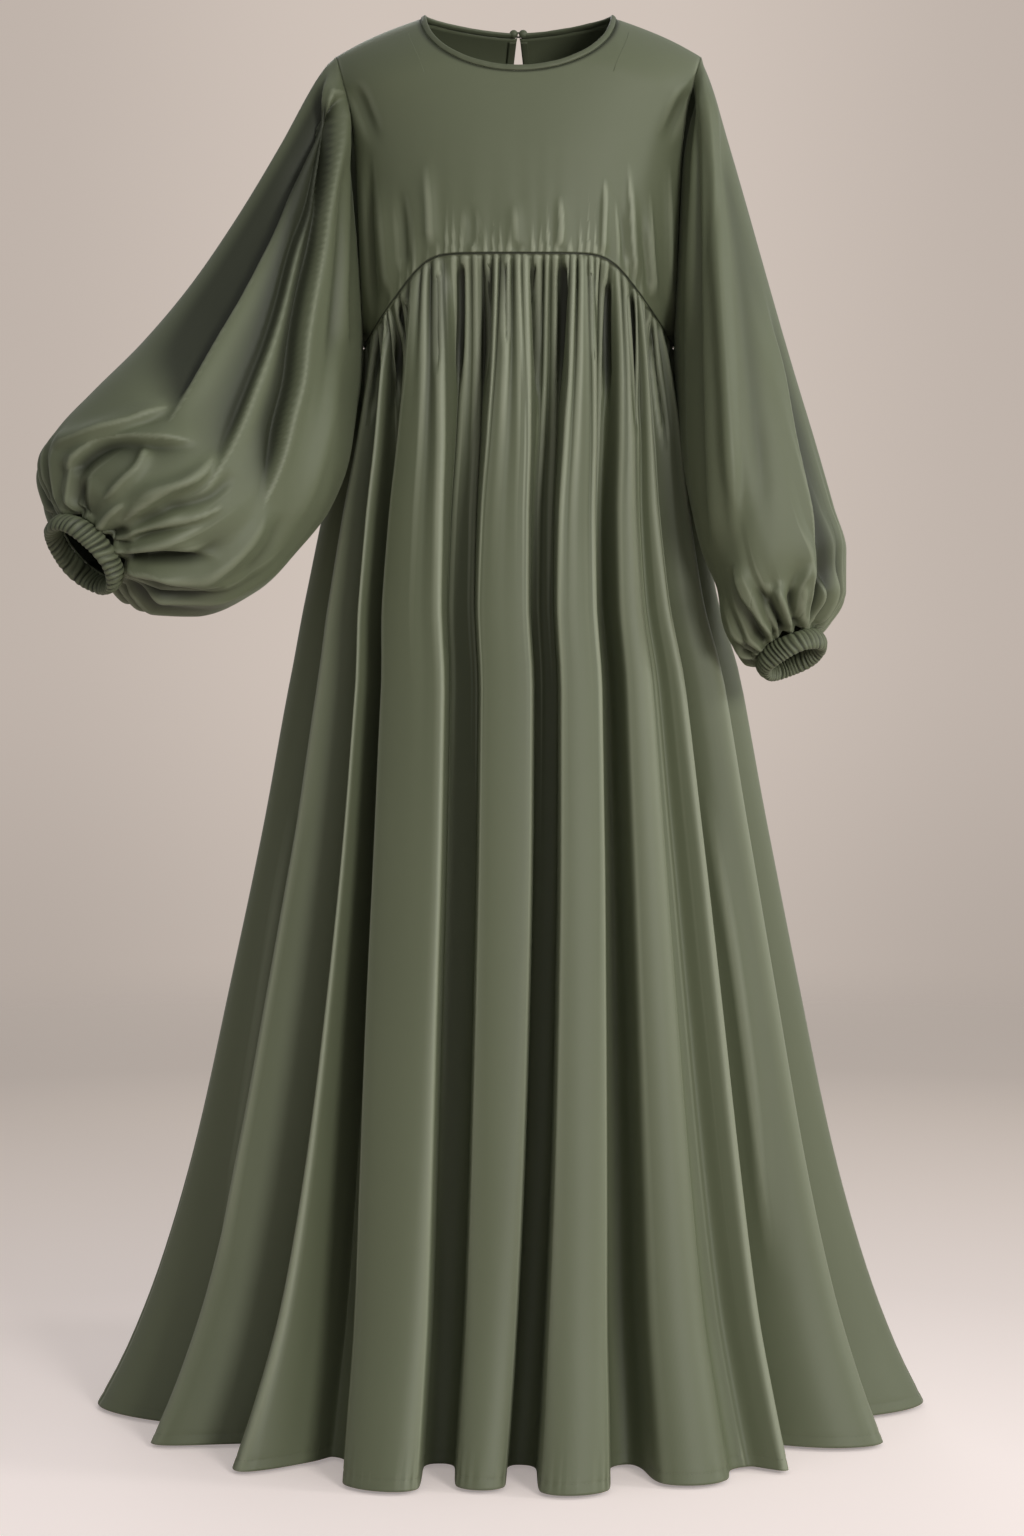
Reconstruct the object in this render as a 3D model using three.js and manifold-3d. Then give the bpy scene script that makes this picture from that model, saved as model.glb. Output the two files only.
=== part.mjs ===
// A floor-length abaya in its worn, hollow shape: a yoke bodice with a round neck and a back keyhole,
// a gathered skirt hung from an arched high-waist seam, and two balloon sleeves with elastic cuffs.
// Millimetres, +Z up. +X is the wearer's left and the front faces -Y. Every height below is above the floor;
// the finished group is lowered so that its origin is midway between the two side neck points.
import * as THREE from "three";
import Module from "manifold-3d";
import { mergeVertices } from "three/addons/utils/BufferGeometryUtils.js";

const wasm = await Module();
wasm.setup();

const CLOTH = 1.2; // thickness of one wall of cloth
const GAP = 0.3; // clear width of every seam
const THINNEST_MITRE = 0.85; // least share of the cloth's thickness that a mitred seam is lengthened from
const DEGREE = Math.PI / 180;

// Neck and shoulders
const NECK_POINT_HEIGHT = 1447;
const NECK_HALF_WIDTH = 100;
const NECK_SIDE_HEIGHT = 1443;
const FRONT_NECK_HEIGHT = 1381;
const BACK_NECK_HEIGHT = 1430;
const SHOULDER_HALF_WIDTH = 187;
const SHOULDER_TIP_HEIGHT = 1405;
const SHOULDER_ROUNDING = 62; // height over which a shoulder turns from level to upright
const SHOULDER_LINE_RISE = 10; // how far the shoulder line, carried on across the neck, rises to the middle
const BINDING_HEIGHT = 6;
const BINDING_THICKNESS = 3.4;
const BINDING_GAP = 0.6;
const BINDING_TILT = 0.25; // how far the binding stands up at the shoulders
const BINDING_SIDES = 6;

// Armholes and the high-waist seam
const UNDERARM_HEIGHT = 1122;
const ARMHOLE_HALF_DEPTH = 50;
const ARMHOLE_TURN_HEIGHT = 1230; // below it the armhole narrows towards the underarm
const SEAM_HALF_WIDTH = 160;
const SEAM_TOP_HEIGHT = 1198;
const SEAM_CORNER = 93; // distance from the middle at which the seam turns down
const SEAM_SLOPE = 1.33;
const SEAM_CORNER_SOFTNESS = 9;

// Back keyhole and its fastening
const KEYHOLE_LENGTH = 74;
const KEYHOLE_HALF_WIDTH = 7.5;
const KEYHOLE_TOP_HALF_WIDTH = 1.6;
const FACING_WIDTH = 7;
const BUTTON_RADIUS = 4.2;
const BUTTON_OUT = 6.2; // the button and the loop's knot stand this far either side of the middle
const BUTTON_HEIGHT = 1437;
const LOOP_REACH = 3.8; // how far past the knobs' middles the loop passes
const LOOP_HALF_HEIGHT = 2.7;
const LOOP_BEHIND = 3.4; // how far behind the neck edge it lies
const BINDING_END = 11; // the binding stops this far from the middle of the back

// Skirt
const HEM_HEIGHT = 4;
const FOLD_OVERHANG = 0.9; // how far a fold's sides turn back under its face
const RECESS_NARROWING = 0.75; // how much narrower a recess is than the face beside it
const FOLD_SQUARENESS = 0.55;
const SEAM_BLEND_DROP = 300; // below the seam, the drop over which the skirt leaves the bodice's section

// Sleeves and cuffs
const CUFF_HALF_HEIGHT = 11;
const CUFF_HALF_THICKNESS = 6;
const CUFF_GAP = 0.8;
const CUFF_RIBS = 24;
const CUFF_VALLEY = 0.82; // the casing's thickness between two ribs, as a share of a rib's
const CUFF_SIDES = 6;
const SLEEVE_GATHERS = 18;
const GATHER_DEPTH = 5; // of the sleeve's gathers where they are deepest, just above the cuff
const GATHER_REACH = 0.07; // share of a sleeve over which its gathers fade
const SLEEVE_BLEND = 0.2; // share of a sleeve over which it leaves the armhole's own outline

const named = (names, rows) =>
  rows.map((row) => Object.fromEntries(names.split(" ").map((name, i) => [name, row[i]])));

// Half-widths and depths of the bodice by height
const BODICE_DEPTHS = named("height front back", [
  [1107, 131, 101],
  [1200, 130, 104],
  [1250, 126, 106],
  [1300, 118, 103],
  [1350, 106, 95],
  [1400, 90, 80],
  [1447, 66, 62],
]);
const ARMHOLE_WIDTHS = named("height halfWidth", [
  [1107, 160],
  [1208, 162.5],
  [1300, 166],
  [1336, 170],
  [1377, 179],
  [1405, 187],
]);

// The skirt's outline over the ridges of its folds
const SKIRT_OUTLINE = named("height halfWidth middle front back", [
  [0, 437, -8, 392, 352],
  [60, 406, -7, 366, 330],
  [150, 371, -6, 330, 302],
  [278, 334, -5, 297, 271],
  [448, 297, -4, 260, 236],
  [617, 262, -3, 228, 205],
  [763, 234, -3, 203, 180],
  [850, 212, -7, 190, 166],
  [930, 195, -6, 176, 152],
  [1020, 176, -2, 161, 137],
  [1107, 158, 0, 146, 122],
  [1198, 140, 0, 132, 106],
]);

// One row for each skirt fold, going round from the wearer's right side over the front to the left and back.
// Angles are of the recess that starts the fold, from the middle of the front. The recess's depth and the
// inset of the fold's face are how far each lies inside the outline at the hem.
const FOLDS = named("name seamAngle hemAngle depth inset gathers", [
  ["rightSide", -108, -104, 44, 0, 4],
  ["rightOuter", -72, -69.5, 64, 38, 2],
  ["rightInner", -57.5, -48, 72, 46, 3],
  ["frontRight", -43, -23, 104, 2, 6],
  ["frontMiddle", -18, -9.5, 116, 46, 8],
  ["frontLeft", 11, 1.7, 116, 0, 6],
  ["leftFace", 35, 15.8, 92, 14, 2],
  ["leftInner", 42, 29, 44, 16, 2],
  ["leftOuter", 53, 46.4, 66, 38, 3],
  ["leftSide", 72, 70.6, 62, 0, 4],
  ["backLeft4", 108, 105, 54, 14, 3],
  ["backLeft3", 126, 124, 78, 6, 3],
  ["backLeft2", 144, 141, 88, 0, 3],
  ["backLeft1", 162, 160, 96, 8, 3],
  ["backRight1", 180, 176, 84, 0, 3],
  ["backRight2", 198, 195, 92, 6, 3],
  ["backRight3", 216, 212, 80, 0, 3],
  ["backRight4", 234, 233, 66, 10, 3],
]);
const FRONT_PANEL = [0.5, 9.5]; // the side seams run down the two side folds' ridges
const BACK_PANEL = [9.5, 18.5];

// How folds deepen, and gathers rise and die away, with the drop below the seam
const DROP_PROFILE = named("drop foldShare gather puff", [
  [0, 0.01, 0, 0],
  [10, 0.05, 2.4, 1],
  [30, 0.13, 3.6, 3],
  [80, 0.25, 3, 4],
  [160, 0.38, 1.5, 3],
  [300, 0.54, 0, 1],
  [420, 0.63, 0, 0],
  [1198, 1, 0, 0],
]);

// Each sleeve's sections: the top and underarm edges seen from the front, how far forward the middle lies,
// the half-depth, and how far the section turns to face forwards
const RIGHT_SLEEVE = named("along topX topHeight underX underHeight forward halfDepth turn", [
  [0, -187, 1405, -160, 1122, 0, 50, 0],
  [0.07, -206, 1377, -168, 1083, 24, 68, 0],
  [0.19, -243, 1309, -175, 1043, 46, 82, 0],
  [0.34, -287, 1234, -185, 992, 70, 94, 5],
  [0.49, -334, 1163, -199, 943, 96, 104, 10],
  [0.63, -380, 1106, -224, 899, 120, 110, 15],
  [0.76, -425, 1058, -261, 860, 150, 108, 20],
  [0.87, -458, 1020, -312, 839, 175, 95, 24],
  [0.94, -474, 989, -355, 841, 190, 74, 27],
  [0.98, -467, 954, -378, 859, 200, 53, 29],
  [1, -448, 935, -391, 878, 206, 40, 29],
]);
const LEFT_SLEEVE = named("along topX topHeight underX underHeight forward halfDepth turn", [
  [0, 187, 1405, 160, 1122, 0, 50, 0],
  [0.07, 197, 1376, 168, 1083, 22, 66, 0],
  [0.18, 212, 1320, 174, 1038, 42, 74, 0],
  [0.3, 230, 1254, 181, 992, 60, 80, 2],
  [0.435, 251, 1177, 189, 945, 76, 85, 5],
  [0.58, 276, 1089, 197, 899, 88, 88, 9],
  [0.715, 300, 1009, 204, 856, 95, 88, 13],
  [0.815, 318, 946, 208, 825, 102, 84, 16],
  [0.89, 331, 900, 216, 802, 106, 74, 18],
  [0.95, 331, 860, 226, 787, 108, 58, 20],
  [0.98, 318, 835, 237.5, 785, 108, 43, 22],
  [1, 300, 819, 243, 792, 108, 32, 22],
]);

// Sampling of the walls
const BODICE_COLUMNS = 24;
const BODICE_ROWS = [0, 0.02, 0.06, 0.12, 0.2, 0.3, 0.42, 0.56, 0.7, 0.82, 0.91, 0.95, 1];
const ARMHOLE_STEPS = 11; // the bodice rows down to the underarm
const NECK_FAN = 15; // how far the bodice's columns fan outwards below the neck's two corners
const NECK_FAN_DOWN = 0.08; // where along a column the fan is widest
const GATHER_COLUMNS = 4;
const FOLD_COLUMNS = 8;
const GATHERED_ROWS = [0, 0.02, 0.06, 0.13];
const HANGING_ROWS = [0.26, 0.45, 0.65, 0.85, 0.95, 1];
const SLEEVE_ROWS = [0, 0.05, 0.12, 0.23, 0.36, 0.5, 0.64, 0.77, 0.87];
const SLEEVE_END_ROWS = [0.93, 0.975, 1];
const SLEEVE_END_COLUMNS = 54;

const clamp = (x, low, high) => Math.min(high, Math.max(low, x));
const mix = (a, b, t) => a + (b - a) * t;
const ease = (t) => {
  const x = clamp(t, 0, 1);
  return x * x * (3 - 2 * x);
};

// A smooth curve through a table's column, with no overshoot between its rows (monotone cubic)
function curveOf(rows, from, to) {
  const xs = rows.map((row) => row[from]);
  const ys = rows.map((row) => row[to]);
  const slopes = xs.slice(1).map((x, i) => (ys[i + 1] - ys[i]) / (x - xs[i]));
  const tangents = xs.map((_, i) => {
    if (i === 0) return slopes[0];
    if (i === xs.length - 1) return slopes[i - 1];
    const [before, after] = [slopes[i - 1], slopes[i]];
    return before * after <= 0 ? 0 : (2 * before * after) / (before + after);
  });
  return (x) => {
    const at = clamp(x, xs[0], xs[xs.length - 1]);
    const found = xs.findIndex((edge, i) => i > 0 && at <= edge);
    const i = Math.max(found, 1) - 1;
    const width = xs[i + 1] - xs[i];
    const t = (at - xs[i]) / width;
    const [t2, t3] = [t * t, t * t * t];
    return (
      (2 * t3 - 3 * t2 + 1) * ys[i] +
      (t3 - 2 * t2 + t) * width * tangents[i] +
      (3 * t2 - 2 * t3) * ys[i + 1] +
      (t3 - t2) * width * tangents[i + 1]
    );
  };
}

const curves = (rows, from, names) =>
  Object.fromEntries(names.split(" ").map((name) => [name, curveOf(rows, from, name)]));

const bodiceDepth = curves(BODICE_DEPTHS, "height", "front back");
const armholeHalfWidth = curveOf(ARMHOLE_WIDTHS, "height", "halfWidth");
const skirtOutline = curves(SKIRT_OUTLINE, "height", "halfWidth middle front back");
const dropProfile = curves(DROP_PROFILE, "drop", "foldShare gather puff");

// Triangles between two rows of points, stepping along whichever row lags, or by the shorter new edge
function strip(upper, lower, closed) {
  const triangles = [];
  const count = (row) => row.points.length - (closed ? 0 : 1);
  const index = (row, i) => row.first + (i % row.points.length);
  const point = (row, i) => row.points[i % row.points.length];
  const share = (row, i) => (i >= row.shares.length ? 1 : row.shares[i]);
  let [i, j] = [0, 0];
  const upperFirst = () => {
    if (j >= count(lower)) return true;
    if (i >= count(upper)) return false;
    const lead = share(upper, i + 1) - share(lower, j + 1);
    if (Math.abs(lead) > 1e-9) return lead < 0;
    const upperStep = point(upper, i + 1).distanceTo(point(lower, j));
    return upperStep < point(upper, i).distanceTo(point(lower, j + 1));
  };
  while (i < count(upper) || j < count(lower)) {
    if (upperFirst()) {
      triangles.push([index(upper, i), index(lower, j), index(upper, i + 1)]);
      i += 1;
    } else {
      triangles.push([index(upper, i), index(lower, j), index(lower, j + 1)]);
      j += 1;
    }
  }
  return triangles;
}

function normalsOf(points, triangles) {
  const normals = points.map(() => new THREE.Vector3());
  for (const [a, b, c] of triangles) {
    const face = new THREE.Vector3()
      .subVectors(points[b], points[a])
      .cross(new THREE.Vector3().subVectors(points[c], points[a]));
    for (const corner of [a, b, c]) normals[corner].add(face);
  }
  return normals.map((normal) => normal.normalize());
}

function signedVolume(points, triangles) {
  return triangles.reduce(
    (sum, [a, b, c]) => sum + points[a].dot(new THREE.Vector3().crossVectors(points[b], points[c])),
    0,
  );
}

function geometryOf(points, triangles) {
  const outward = signedVolume(points, triangles) > 0;
  const faces = outward ? triangles : triangles.map(([a, b, c]) => [a, c, b]);
  const geometry = new THREE.BufferGeometry().setFromPoints(points);
  geometry.setIndex(faces.flat());
  return geometry;
}

// A wall of cloth through rows of points: the same rows moved half a thickness out and in, with rims between.
// A row may carry its own normals, so that two walls meet squarely at a seam.
function wall(rows, closed, thickness = CLOTH) {
  const points = [];
  for (const row of rows) {
    row.first = points.length;
    points.push(...row.points);
  }
  const skin = rows.slice(1).flatMap((row, i) => strip(rows[i], row, closed));
  const normals = normalsOf(points, skin);
  const given = rows.flatMap((row) =>
    (row.normals ?? []).map((normal, i) => ({ normal, at: row.first + i })).filter((g) => g.normal),
  );
  const agreement = given.reduce((sum, { normal, at }) => sum + normals[at].dot(normal), 0);
  for (const { normal, at } of given)
    normals[at] = normal.clone().multiplyScalar(agreement < 0 ? -1 : 1);
  const moved = (distance) => points.map((p, i) => p.clone().addScaledVector(normals[i], distance));
  const all = [...moved(thickness / 2), ...moved(-thickness / 2)];
  const inner = points.length;
  const triangles = [...skin, ...skin.map(([a, b, c]) => [a + inner, c + inner, b + inner])];
  const rim = (edge) =>
    edge.slice(1).forEach((b, i) => {
      const a = edge[i];
      triangles.push([a, b, b + inner], [a, b + inner, a + inner]);
    });
  const around = (row) => {
    const edge = row.points.map((_, i) => row.first + i);
    return closed ? [...edge, row.first] : edge;
  };
  rim(around(rows[0]));
  rim(around(rows[rows.length - 1]).reverse());
  if (!closed) {
    rim(rows.map((row) => row.first + row.points.length - 1));
    rim(rows.map((row) => row.first).reverse());
  }
  return { geometry: geometryOf(all, triangles), normals, rows };
}

// A solid carried along a path: section(i) gives its ring of points at each path point
function swept(rings, closed) {
  const points = rings.flat();
  const size = rings[0].length;
  const triangles = [];
  const steps = closed ? rings.length : rings.length - 1;
  for (let i = 0; i < steps; i += 1)
    for (let j = 0; j < size; j += 1) {
      const here = i * size;
      const next = ((i + 1) % rings.length) * size;
      const k = (j + 1) % size;
      triangles.push([here + j, next + j, next + k], [here + j, next + k, here + k]);
    }
  if (!closed) {
    const last = (rings.length - 1) * size;
    for (let j = 1; j < size - 1; j += 1)
      triangles.push([0, j, j + 1], [last, last + j + 1, last + j]);
  }
  return geometryOf(points, triangles);
}

// The shoulder seam's height, carried on level across the neck
function shoulderHeight(x) {
  const out = Math.abs(x) - NECK_HALF_WIDTH;
  if (out <= 0) return NECK_SIDE_HEIGHT + SHOULDER_LINE_RISE * (1 - (x / NECK_HALF_WIDTH) ** 2);
  const span = SHOULDER_HALF_WIDTH - NECK_HALF_WIDTH;
  const share = out / span;
  const drop = NECK_SIDE_HEIGHT - SHOULDER_TIP_HEIGHT;
  return NECK_SIDE_HEIGHT - drop * (0.8 * share + 0.2 * share ** 3);
}

function neckHeight(x, side) {
  const share = clamp(Math.abs(x) / NECK_HALF_WIDTH, 0, 1);
  return side === "front"
    ? NECK_SIDE_HEIGHT - (NECK_SIDE_HEIGHT - FRONT_NECK_HEIGHT) * Math.sqrt(1 - share ** 2)
    : NECK_SIDE_HEIGHT - (NECK_SIDE_HEIGHT - BACK_NECK_HEIGHT) * (1 - share ** 1.6);
}

// The high-waist seam is level across the middle and slopes down to the sides past a soft corner
function seamHeight(x) {
  const past = (Math.abs(x) - SEAM_CORNER) / SEAM_CORNER_SOFTNESS;
  return SEAM_TOP_HEIGHT - SEAM_SLOPE * SEAM_CORNER_SOFTNESS * Math.log(1 + Math.exp(past));
}

// How far the armhole's edge lies in front of or behind the shoulder line
function armholeDepth(height) {
  if (height <= UNDERARM_HEIGHT) return 0;
  if (height >= ARMHOLE_TURN_HEIGHT) return ARMHOLE_HALF_DEPTH;
  const left = (ARMHOLE_TURN_HEIGHT - height) / (ARMHOLE_TURN_HEIGHT - UNDERARM_HEIGHT);
  return ARMHOLE_HALF_DEPTH * Math.sqrt(1 - left ** 2);
}

// The bodice's surface: how far forward (negative) or back it lies at a place seen from the front
function bodiceY(x, height, side) {
  const below = clamp((shoulderHeight(x) - height) / SHOULDER_ROUNDING, 0, 1);
  const rounding = Math.sqrt(1 - (1 - below) ** 2);
  const across = clamp(Math.abs(x) / armholeHalfWidth(height), 0, 1);
  const bulge = (1 - across ** 2.6) ** 0.75;
  const edge = armholeDepth(height);
  const depth = rounding * (edge + (bodiceDepth[side](height) - edge) * bulge);
  return side === "front" ? -depth : depth;
}

// A bodice panel's point: across runs from -1 at the right armhole to 1 at the left, down from the
// shoulders and neck at 0 to the high-waist seam at 1
function bodicePoint(side, across, down) {
  const out = Math.abs(across);
  const inNeck = out <= 0.5;
  const topX = inNeck
    ? NECK_HALF_WIDTH * Math.sin(Math.PI * across)
    : Math.sign(across) * mix(NECK_HALF_WIDTH, SHOULDER_HALF_WIDTH, 2 * out - 1);
  const topHeight = inNeck ? neckHeight(topX, side) : shoulderHeight(topX);
  const bottomX = SEAM_HALF_WIDTH * across;
  const height = mix(topHeight, seamHeight(bottomX), down);
  const edgeHeight = mix(SHOULDER_TIP_HEIGHT, seamHeight(SEAM_HALF_WIDTH), down);
  const straight = mix(SHOULDER_HALF_WIDTH, SEAM_HALF_WIDTH, down);
  const fan = (down / NECK_FAN_DOWN) * Math.exp(1 - down / NECK_FAN_DOWN);
  const bow = NECK_FAN * Math.sin(Math.PI * across) * fan;
  const x = (mix(topX, bottomX, down) * armholeHalfWidth(edgeHeight)) / straight + bow;
  const seamShift = side === "front" ? -GAP / 2 : GAP / 2;
  return new THREE.Vector3(x, bodiceY(x, height, side) + seamShift, height);
}

const sleeveCurves = (table) =>
  curves(table, "along", "topX topHeight underX underHeight forward halfDepth turn");

// A sleeve's section at a share of its length: its middle and its three directions
function sleeveSection(sleeve, along) {
  const top = new THREE.Vector3(sleeve.topX(along), 0, sleeve.topHeight(along));
  const under = new THREE.Vector3(sleeve.underX(along), 0, sleeve.underHeight(along));
  const upward = top.clone().sub(under);
  const halfLength = upward.length() / 2;
  upward.normalize();
  const sideways = Math.sign(sleeve.topX(0));
  const inPlane = new THREE.Vector3(upward.z * sideways, 0, -upward.x * sideways);
  const turn = sleeve.turn(along) * DEGREE;
  const forward = new THREE.Vector3(0, -1, 0);
  return {
    middle: top.add(under).multiplyScalar(0.5).setY(-sleeve.forward(along)),
    upward,
    frontward: forward.clone().multiplyScalar(Math.cos(turn)).addScaledVector(inPlane, -Math.sin(turn)),
    outward: inPlane.clone().multiplyScalar(Math.cos(turn)).addScaledVector(forward, Math.sin(turn)),
    halfLength,
    halfDepth: sleeve.halfDepth(along),
  };
}

function sleeveRadial(sleeve, angle, along) {
  const { upward, frontward } = sleeveSection(sleeve, along);
  return upward.clone().multiplyScalar(Math.cos(angle)).addScaledVector(frontward, Math.sin(angle));
}

// Near the cuff the sleeve's wall waves in and out, once for each gather
function sleevePoint(sleeve, angle, along) {
  const section = sleeveSection(sleeve, along);
  const gather = GATHER_DEPTH * Math.exp((along - 1) / GATHER_REACH) * ease((1 - along) / 0.02 + 0.25);
  const scale = 1 - (gather * (1 + Math.cos(SLEEVE_GATHERS * angle))) / (2 * section.halfLength);
  return section.middle
    .clone()
    .addScaledVector(section.upward, section.halfLength * scale * Math.cos(angle))
    .addScaledVector(section.frontward, section.halfDepth * scale * Math.sin(angle));
}

// Where two walls meet at an angle, both are cut along the line that halves it. The result is the direction
// of that cut, lengthened so that the walls keep their thickness, and the way from one wall to the other.
function mitre(point, edge, towardsOne, towardsOther, outward) {
  const along = edge.clone().normalize();
  const flat = (target) => {
    const leg = target.clone().sub(point);
    return leg.addScaledVector(along, -leg.dot(along)).normalize();
  };
  const [one, other] = [flat(towardsOne), flat(towardsOther)];
  const sum = one.clone().add(other);
  const cut = sum.length() > 0.05 ? sum : one.clone().cross(along);
  cut.normalize();
  const thinning = Math.sqrt(Math.max(0, 1 - cut.dot(one) ** 2));
  const sign = cut.dot(outward) < 0 ? -1 : 1;
  return {
    normal: cut.multiplyScalar(sign / Math.max(thinning, THINNEST_MITRE)),
    apart: other.sub(one).normalize(),
  };
}

// The seam between a sleeve and the two bodice panels, for each bodice row of the front and of the back
function armholeSeam(table, sideways) {
  const sleeve = sleeveCurves(table);
  const rows = BODICE_ROWS.slice(0, ARMHOLE_STEPS + 1);
  const inwards = sideways * (1 - 2 / BODICE_COLUMNS);
  const places = (side) => {
    const points = rows.map((down) => bodicePoint(side, sideways, down));
    return rows.map((down, k) => {
      const half = Math.acos(1 - (2 * down) / BODICE_ROWS[ARMHOLE_STEPS]);
      const angle = side === "front" ? half : -half;
      const previous = k === 0 ? points[1].clone().setY(-points[1].y) : points[k - 1];
      const following = k === ARMHOLE_STEPS ? points[k - 1].clone().setY(-points[k - 1].y) : points[k + 1];
      const lowest = k === ARMHOLE_STEPS;
      const outward = new THREE.Vector3(0, -Math.sin(angle), Math.cos(angle));
      const onBodice = lowest ? bodicePoint(side, sideways, 1) : bodicePoint(side, inwards, down);
      return {
        angle: half,
        point: points[k],
        ...mitre(
          points[k],
          following.clone().sub(previous),
          onBodice,
          sleevePoint(sleeve, angle, SLEEVE_ROWS[1]),
          outward,
        ),
      };
    });
  };
  const [front, back] = [places("front"), places("back")];
  for (const k of [0, ARMHOLE_STEPS])
    for (const part of ["normal", "apart"]) {
      const shared = front[k][part].clone().add(back[k][part]).multiplyScalar(0.5).setY(0);
      [front[k][part], back[k][part]] = [shared, shared];
    }
  return { front, back };
}

const armholes = { right: armholeSeam(RIGHT_SLEEVE, -1), left: armholeSeam(LEFT_SLEEVE, 1) };

// Walls that share a seam also share its direction of thickness
function bodiceEdgeNormal(side, across, down) {
  const sideways = Math.sign(across);
  if (Math.abs(across) === 1) {
    const row = BODICE_ROWS.indexOf(down);
    const seam = armholes[sideways < 0 ? "right" : "left"][side];
    return seam[row] ? seam[row].normal : new THREE.Vector3(sideways, 0, 0);
  }
  if (down > 0 || Math.abs(across) < 0.5) return null;
  const x = sideways * mix(NECK_HALF_WIDTH, SHOULDER_HALF_WIDTH, 2 * Math.abs(across) - 1);
  const rise = shoulderHeight(Math.abs(x) - 1) - shoulderHeight(Math.abs(x) + 1);
  return new THREE.Vector3(sideways * rise, 0, 2).normalize();
}

function bodicePanel(side) {
  const steps = Array.from({ length: BODICE_COLUMNS + 1 }, (_, i) => (2 * i) / BODICE_COLUMNS - 1);
  const rows = BODICE_ROWS.map((down) => ({
    shares: steps.map((across) => (across + 1) / 2),
    points: steps.map((across) => bodicePoint(side, across, down)),
    normals: steps.map((across) => bodiceEdgeNormal(side, across, down)),
  }));
  return wall(rows, false);
}

const panels = { front: bodicePanel("front"), back: bodicePanel("back") };

// The seam edge of a bodice panel at a distance from the middle, on the straight lines between its columns
function seamEdge(side, x) {
  const { rows, normals } = panels[side];
  const row = rows[rows.length - 1];
  const found = row.points.findIndex((p, i) => i > 0 && x <= p.x + 1e-9);
  const i = (found < 0 ? row.points.length - 1 : found) - 1;
  const [a, b] = [row.points[i], row.points[i + 1]];
  const t = clamp((x - a.x) / (b.x - a.x), 0, 1);
  return {
    point: a.clone().lerp(b, t),
    normal: normals[row.first + i].clone().lerp(normals[row.first + i + 1], t).normalize(),
    gap: GAP * Math.hypot(1, (b.z - a.z) / (b.x - a.x)),
  };
}

// A point of the skirt without the fit to the bodice: fold counts folds round from the wearer's right side,
// down runs from the seam at 0 to the hem at 1
function freeSkirtPoint(fold, seamTop, down) {
  const index = Math.floor(fold) % FOLDS.length;
  const within = fold - Math.floor(fold);
  const turns = Math.floor(fold / FOLDS.length) * 360;
  const here = FOLDS[index];
  const next = FOLDS[(index + 1) % FOLDS.length];
  const lap = index + 1 === FOLDS.length ? 360 : 0;
  const height = mix(seamTop, HEM_HEIGHT, down);
  const drop = seamTop - height;
  const omega = ease(drop / SEAM_BLEND_DROP);
  const across =
    within +
    omega *
      ((FOLD_OVERHANG * Math.sin(4 * Math.PI * within)) / (4 * Math.PI) -
        (RECESS_NARROWING * Math.sin(2 * Math.PI * within)) / (2 * Math.PI));
  const seamAngle = (mix(here.seamAngle, next.seamAngle + lap, across) + turns) * DEGREE;
  const hemAngle = (mix(here.hemAngle, next.hemAngle + lap, across) + turns) * DEGREE;
  const fall = (SEAM_TOP_HEIGHT - height) / SEAM_TOP_HEIGHT;
  const depthName = Math.cos(mix(seamAngle, hemAngle, fall)) >= 0 ? "front" : "back";
  const depthAt = skirtOutline[depthName];
  const towardsX = mix(
    SEAM_HALF_WIDTH * Math.sin(seamAngle),
    skirtOutline.halfWidth(0) * Math.sin(hemAngle),
    fall,
  );
  const towardsFront = mix(
    depthAt(SEAM_TOP_HEIGHT) * Math.cos(seamAngle),
    depthAt(0) * Math.cos(hemAngle),
    fall,
  );
  const [halfWidth, halfDepth] = [skirtOutline.halfWidth(height), depthAt(height)];
  const angle = Math.atan2(towardsX / halfWidth, towardsFront / halfDepth);
  const outward = new THREE.Vector3(Math.sin(angle) / halfWidth, -Math.cos(angle) / halfDepth, 0);
  outward.normalize();
  const rise = (1 - Math.cos(2 * Math.PI * within)) / 2;
  const ridge = mix(rise, ease(rise), FOLD_SQUARENESS);
  const recess = mix(here.depth, next.depth, ease(within));
  const depth = mix(recess, here.inset, ridge) * dropProfile.foldShare(drop);
  const gather = (1 + Math.cos(2 * Math.PI * here.gathers * within)) / 2;
  const inward = depth + gather * dropProfile.gather(drop) - dropProfile.puff(drop);
  const middle = skirtOutline.middle(height);
  return new THREE.Vector3(
    middle + halfWidth * Math.sin(angle),
    -halfDepth * Math.cos(angle),
    height,
  ).addScaledVector(outward, -inward);
}

// Where a fold position meets the bodice
function seamPlace(fold, panelSide) {
  const index = Math.floor(fold) % FOLDS.length;
  const within = fold - Math.floor(fold);
  const lap = index + 1 === FOLDS.length ? 360 : 0;
  const next = FOLDS[(index + 1) % FOLDS.length];
  const angle = mix(FOLDS[index].seamAngle, next.seamAngle + lap, within) * DEGREE;
  return seamEdge(panelSide, SEAM_HALF_WIDTH * Math.sin(angle));
}

function skirtPoint(fold, side, down) {
  const { point, gap } = seamPlace(fold, side);
  const top = point.clone().setZ(point.z - gap);
  const correction = top.clone().sub(freeSkirtPoint(fold, top.z, 0));
  const fade = 1 - ease((down * (top.z - HEM_HEIGHT)) / SEAM_BLEND_DROP);
  return freeSkirtPoint(fold, top.z, down).addScaledVector(correction, fade);
}

function foldSteps([start, end], columnsOf) {
  const steps = [];
  for (let index = Math.floor(start); index < end; index += 1) {
    const columns = columnsOf(FOLDS[index % FOLDS.length]);
    for (let k = 0; k < columns; k += 1) steps.push(index + k / columns);
  }
  return [...steps.filter((fold) => fold >= start && fold < end), end];
}

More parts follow.
